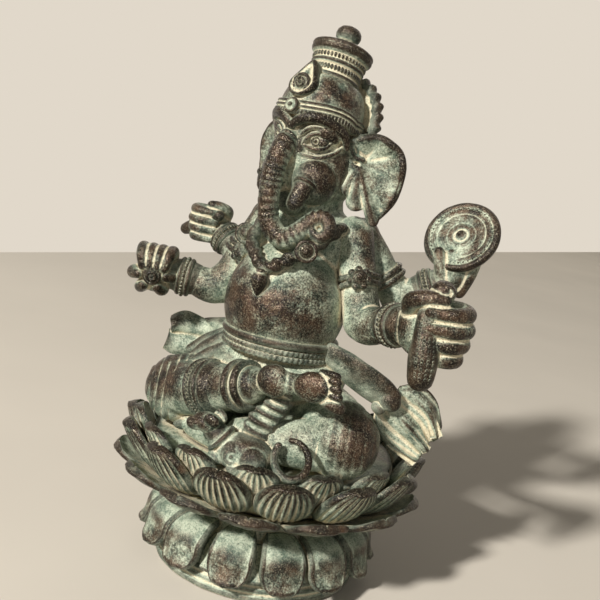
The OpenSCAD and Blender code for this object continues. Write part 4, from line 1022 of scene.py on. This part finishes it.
flowerBud = {"name": "flowerBud", "nodes": ["flower_bud"], "slot": "dark_bronze"}
budMiddle = rightPalm + frontAxis * 10 + upAxis * -1
budParts = [egg(budMiddle, (4.6, 4.6, 4.6)), ring(budMiddle + frontAxis * 2.6, frontAxis, 3.3, 0.9)]
budParts.append(ring(budMiddle + frontAxis * 4.2, frontAxis, 1.7, 0.8))
piece(flowerBud, join(*budParts))

# The rear left hand opens into a cup of fingers that carries a ringed disc.
cup = [tube([rearWrist + (rearWrist - rearElbow) * 0.42, rearLeftPalm, rearLeftPalm + (0.2, 1, 7)],
            [5.4, 7.0, 8.6], rings=20, sides=28)]
for n in range(4):
    x = -7.5 + 5 * n
    lift = [(x * 0.5, 3, -4), (x * 0.9, 4, 5), (x * 1.15, 3, 12)]
    cup.append(tube(onHand(rearLeftPalm, 16, lift), [3.0, 3.0, 2.4], rings=18, sides=14))
rearLeftHand = {"name": "rearLeftHand", "nodes": ["rear_left_hand"], "slot": "green_bronze"} | handLook
piece(rearLeftHand, join(*cup))
disc = {"name": "lotusDisc", "nodes": ["lotus_disc"], "slot": "green_bronze", "pale": 0.02, "lump": 0.15}
discProfile = [
    [1, -2.6], [12, -2.6], [15.5, -2.2], [17.2, -0.8], [17.6, 0.8], [17.0, 2.0], [16.2, 2.5], [15.2, 2.3],
    [14.4, 1.95], [13.6, 2.05], [12.6, 2.3], [11.8, 2.1], [11.2, 1.85], [10.2, 1.95], [8.8, 2.1],
    [7.4, 1.95], [6.6, 1.8], [5.6, 2.0], [4.6, 2.25], [3.8, 1.95], [2.8, 1.9], [2.0, 2.3], [0.8, 2.6]]
discTurn = np.array(Euler(np.radians((60, 0, -10))).to_matrix())
discAt = np.array([62.8, 22.1, 169.1])
discPart = join(lathe(discProfile, cols=110), beads(circle(40, 13.9, 1.9), 0.55))
piece(disc, moved(discPart, lambda p: p @ discTurn.T + discAt))

# The rear right fist grips the stub of a goad.
rearFist = fist(rearRightPalm, rearWrist * flip, rearElbow * flip, 11.5, -1)
rearRightHand = {"name": "rearRightHand", "nodes": ["rear_right_hand"], "slot": "green_bronze"} | handLook
piece(rearRightHand, join(*rearFist))
goad = {"name": "goadStub", "nodes": ["goad"], "slot": "green_bronze"}
goadPath = [(-56, 12, 155), (-64, 14, 150), (-73, 16, 146), (-76, 16.4, 144.6)]
goadRod = tube(goadPath, [2.6, 2.8, 3.4, 3.0], rings=30)
goadRing = ring((-71, 15.6, 147), (-9, 2, -4), 3.2, 1.0, around=40)
piece(goad, join(goadRod, goadRing))
print("arms and hands ready")

# The mouse crouches on the seat: body, haunch and paws fused, a wide flat head, a ring of tail.
mouseBody = {
    "name": "mouseBody", "nodes": ["mouse_body"], "slot": "green_bronze", "pale": -0.2,
    "voxel": 0.5, "soften": 3}
mouseParts = [
    egg((9, -50, 67.5), (13, 8.5, 8.5), (0, 0, 10)), egg((15, -54, 66.5), (6.5, 5, 6.4), (0, 0, 20)),
    egg((6, -55, 68), (5.6, 4.2, 5.6)), egg((-1, -55, 64), (4, 3.2, 3.4)), egg((-3, -58, 62), (3.4, 2.2, 2)),
    egg((10, -58, 62.4), (4, 2.4, 2.2)), tube([(0, -51, 70), (-6, -53, 75)], [6, 4.5], rings=10),
    ring((7.6, -58.6, 67.6), toEye, 2.5, 0.9, around=40), egg((7.6, -58.4, 67.6), (1.3, 1.3, 1.3)),
    ring((-1.5, -52, 71.5), (-6, -2, 5), 6.2, 1.1, around=50)]
piece(mouseBody, join(*mouseParts))
mouseHead = {"name": "mouseHead", "nodes": ["mouse_head"], "slot": "dark_bronze", "voxel": 0.4, "soften": 2}
mouseHeadParts = [
    egg((-8, -53.4, 76.6), (7.0, 5.4, 4.4), (0, 8, 10)), egg((-13.4, -55, 75.4), (4, 3.2, 3.0)),
    egg((-4.5, -57.4, 79.4), (3.6, 1.6, 2.8), (0, 20, 10)),
    egg((-5, -49, 79.4), (3.6, 1.6, 2.8), (0, 20, -10)), egg((-11.4, -58, 76.8), (1.0, 1.0, 1.0))]
piece(mouseHead, join(*mouseHeadParts))
mouseTail = {"name": "mouseTail", "nodes": ["mouse_tail"], "slot": "dark_bronze", "pale": 0.15}
tailTurn = np.linspace(-0.4, 4.9, 14)
tailPath = np.stack([31 - 8 * np.cos(tailTurn), -50 - 1.5 * np.sin(tailTurn) - 0.5 * tailTurn,
                     72 - 8 * np.sin(tailTurn)], 1)
piece(mouseTail, tube(tailPath, [1.7, 1.7, 1.7, 1.6, 1.5, 1.2], rings=80, sides=16))
print("mouse ready")

# the solids that stay: throne core, base and hardware get a skin by their slot
kept = {"throne_core": "green_bronze", "base_plate": "green_bronze",
        "clamp_stud": "steel", "clamp_washer": "steel", "clamp_nut": "steel", "dowel_pins": "steel"}
for obj in bpy.data.objects:
    slotName = kept.get(obj.name.split(".")[0])
    if slotName and obj.type == "MESH":
        obj.data.materials.clear()
        obj.data.materials.append(keptSkins[slotName])


# The floor: pale matt plaster, with soft clouds about 200 across.
def plaster(name, code):
    mat = bpy.data.materials.new(name)
    mat.use_nodes = True
    tree = mat.node_tree
    shader = tree.nodes["Principled BSDF"]
    place = grow(tree, "TexCoord", {}, "Object")
    cloud = grow(tree, "TexNoise", {"Vector": place, "Scale": 1 / (200 * mm), "Detail": 3.0})
    shade = grow(tree, "MapRange", {"Value": cloud, "To Min": 0.9, "To Max": 1.06})
    tone = grow(tree, "VectorMath", {0: linear(code)[:3], "Scale": shade}, operation="SCALE")
    tree.links.new(tone, shader.inputs["Base Color"])
    shader.inputs["Roughness"].default_value = 0.85
    return mat


# one flat sheet through its four corners, for the figure to stand on
def stand(name, corners, mat):
    mesh = bpy.data.meshes.new(name)
    mesh.from_pydata(corners, [], [(0, 1, 2, 3)])
    mesh.materials.append(mat)
    obj = bpy.data.objects.new(name, mesh)
    bpy.context.scene.collection.objects.link(obj)


# its far edge is cut so that it ends on a level line of the picture
farRun = np.array([0.19, 0.982])
farEdge = np.array([-0.593, 0.454])
nearCorner = farEdge - farRun * 3
farCorner = farEdge + farRun * 5
floorCorners = [nearCorner, nearCorner + (6, -1), farCorner + (6, -1), farCorner]
stand("floor", [(x, y, -0.0002) for x, y in floorCorners], plaster("floorPlaster", "#c9c3b7"))


# a square area lamp at a place, turned toward its aim
def lamp(name, place, aim, power, size, tone):
    data = bpy.data.lights.new(name, "AREA")
    data.energy = power
    data.size = size
    data.color = linear(tone)[:3]
    obj = bpy.data.objects.new(name, data)
    obj.location = place
    obj.rotation_euler = (Vector(aim) - Vector(place)).to_track_quat("-Z", "Y").to_euler()
    bpy.context.scene.collection.objects.link(obj)


lamp("key", (-0.55, -2.7, 1.75), (0, 0, 0.1), 186, 0.24, "#fffaf4")
lamp("fill", (1.6, -1.4, 0.9), (0, 0, 0.12), 4, 1.2, "#eef2ff")
lamp("back", (-0.6, 2.4, 1.5), (0, 0, 0.1), 10, 1.6, "#fff6ea")
# the pale background, seen at full strength and lighting the figure only a little
world = bpy.data.worlds.new("paleBackground")
bpy.context.scene.world = world
world.use_nodes = True
sky = world.node_tree
rays = grow(sky, "LightPath", {}).node.outputs
seen = grow(sky, "Math", {0: rays["Is Camera Ray"], 1: rays["Is Glossy Ray"]}, operation="MAXIMUM")
seen = grow(sky, "Math", {0: seen, 1: rays["Is Transmission Ray"]}, operation="MAXIMUM")
power = grow(sky, "MapRange", {"Value": seen, "To Min": 0.16, "To Max": 1.0})
sky.nodes["Background"].inputs["Color"].default_value = linear("#e1d8ca")
sky.links.new(power, sky.nodes["Background"].inputs["Strength"])

eye = aimPoint + viewDistance * toEye
cameraData = bpy.data.cameras.new("camera")
cameraData.sensor_width = 36.0
cameraData.lens = 54.0
cameraData.clip_start = 0.01
camera = bpy.data.objects.new("camera", cameraData)
bpy.context.scene.collection.objects.link(camera)
pose = np.eye(4)
pose[:3, :3] = np.stack([pictureRight, pictureUp, toEye], 1)
pose[:3, 3] = eye * mm
camera.matrix_world = Matrix(pose.tolist())
bpy.context.scene.camera = camera
bpy.context.scene.view_settings.view_transform = "Standard"
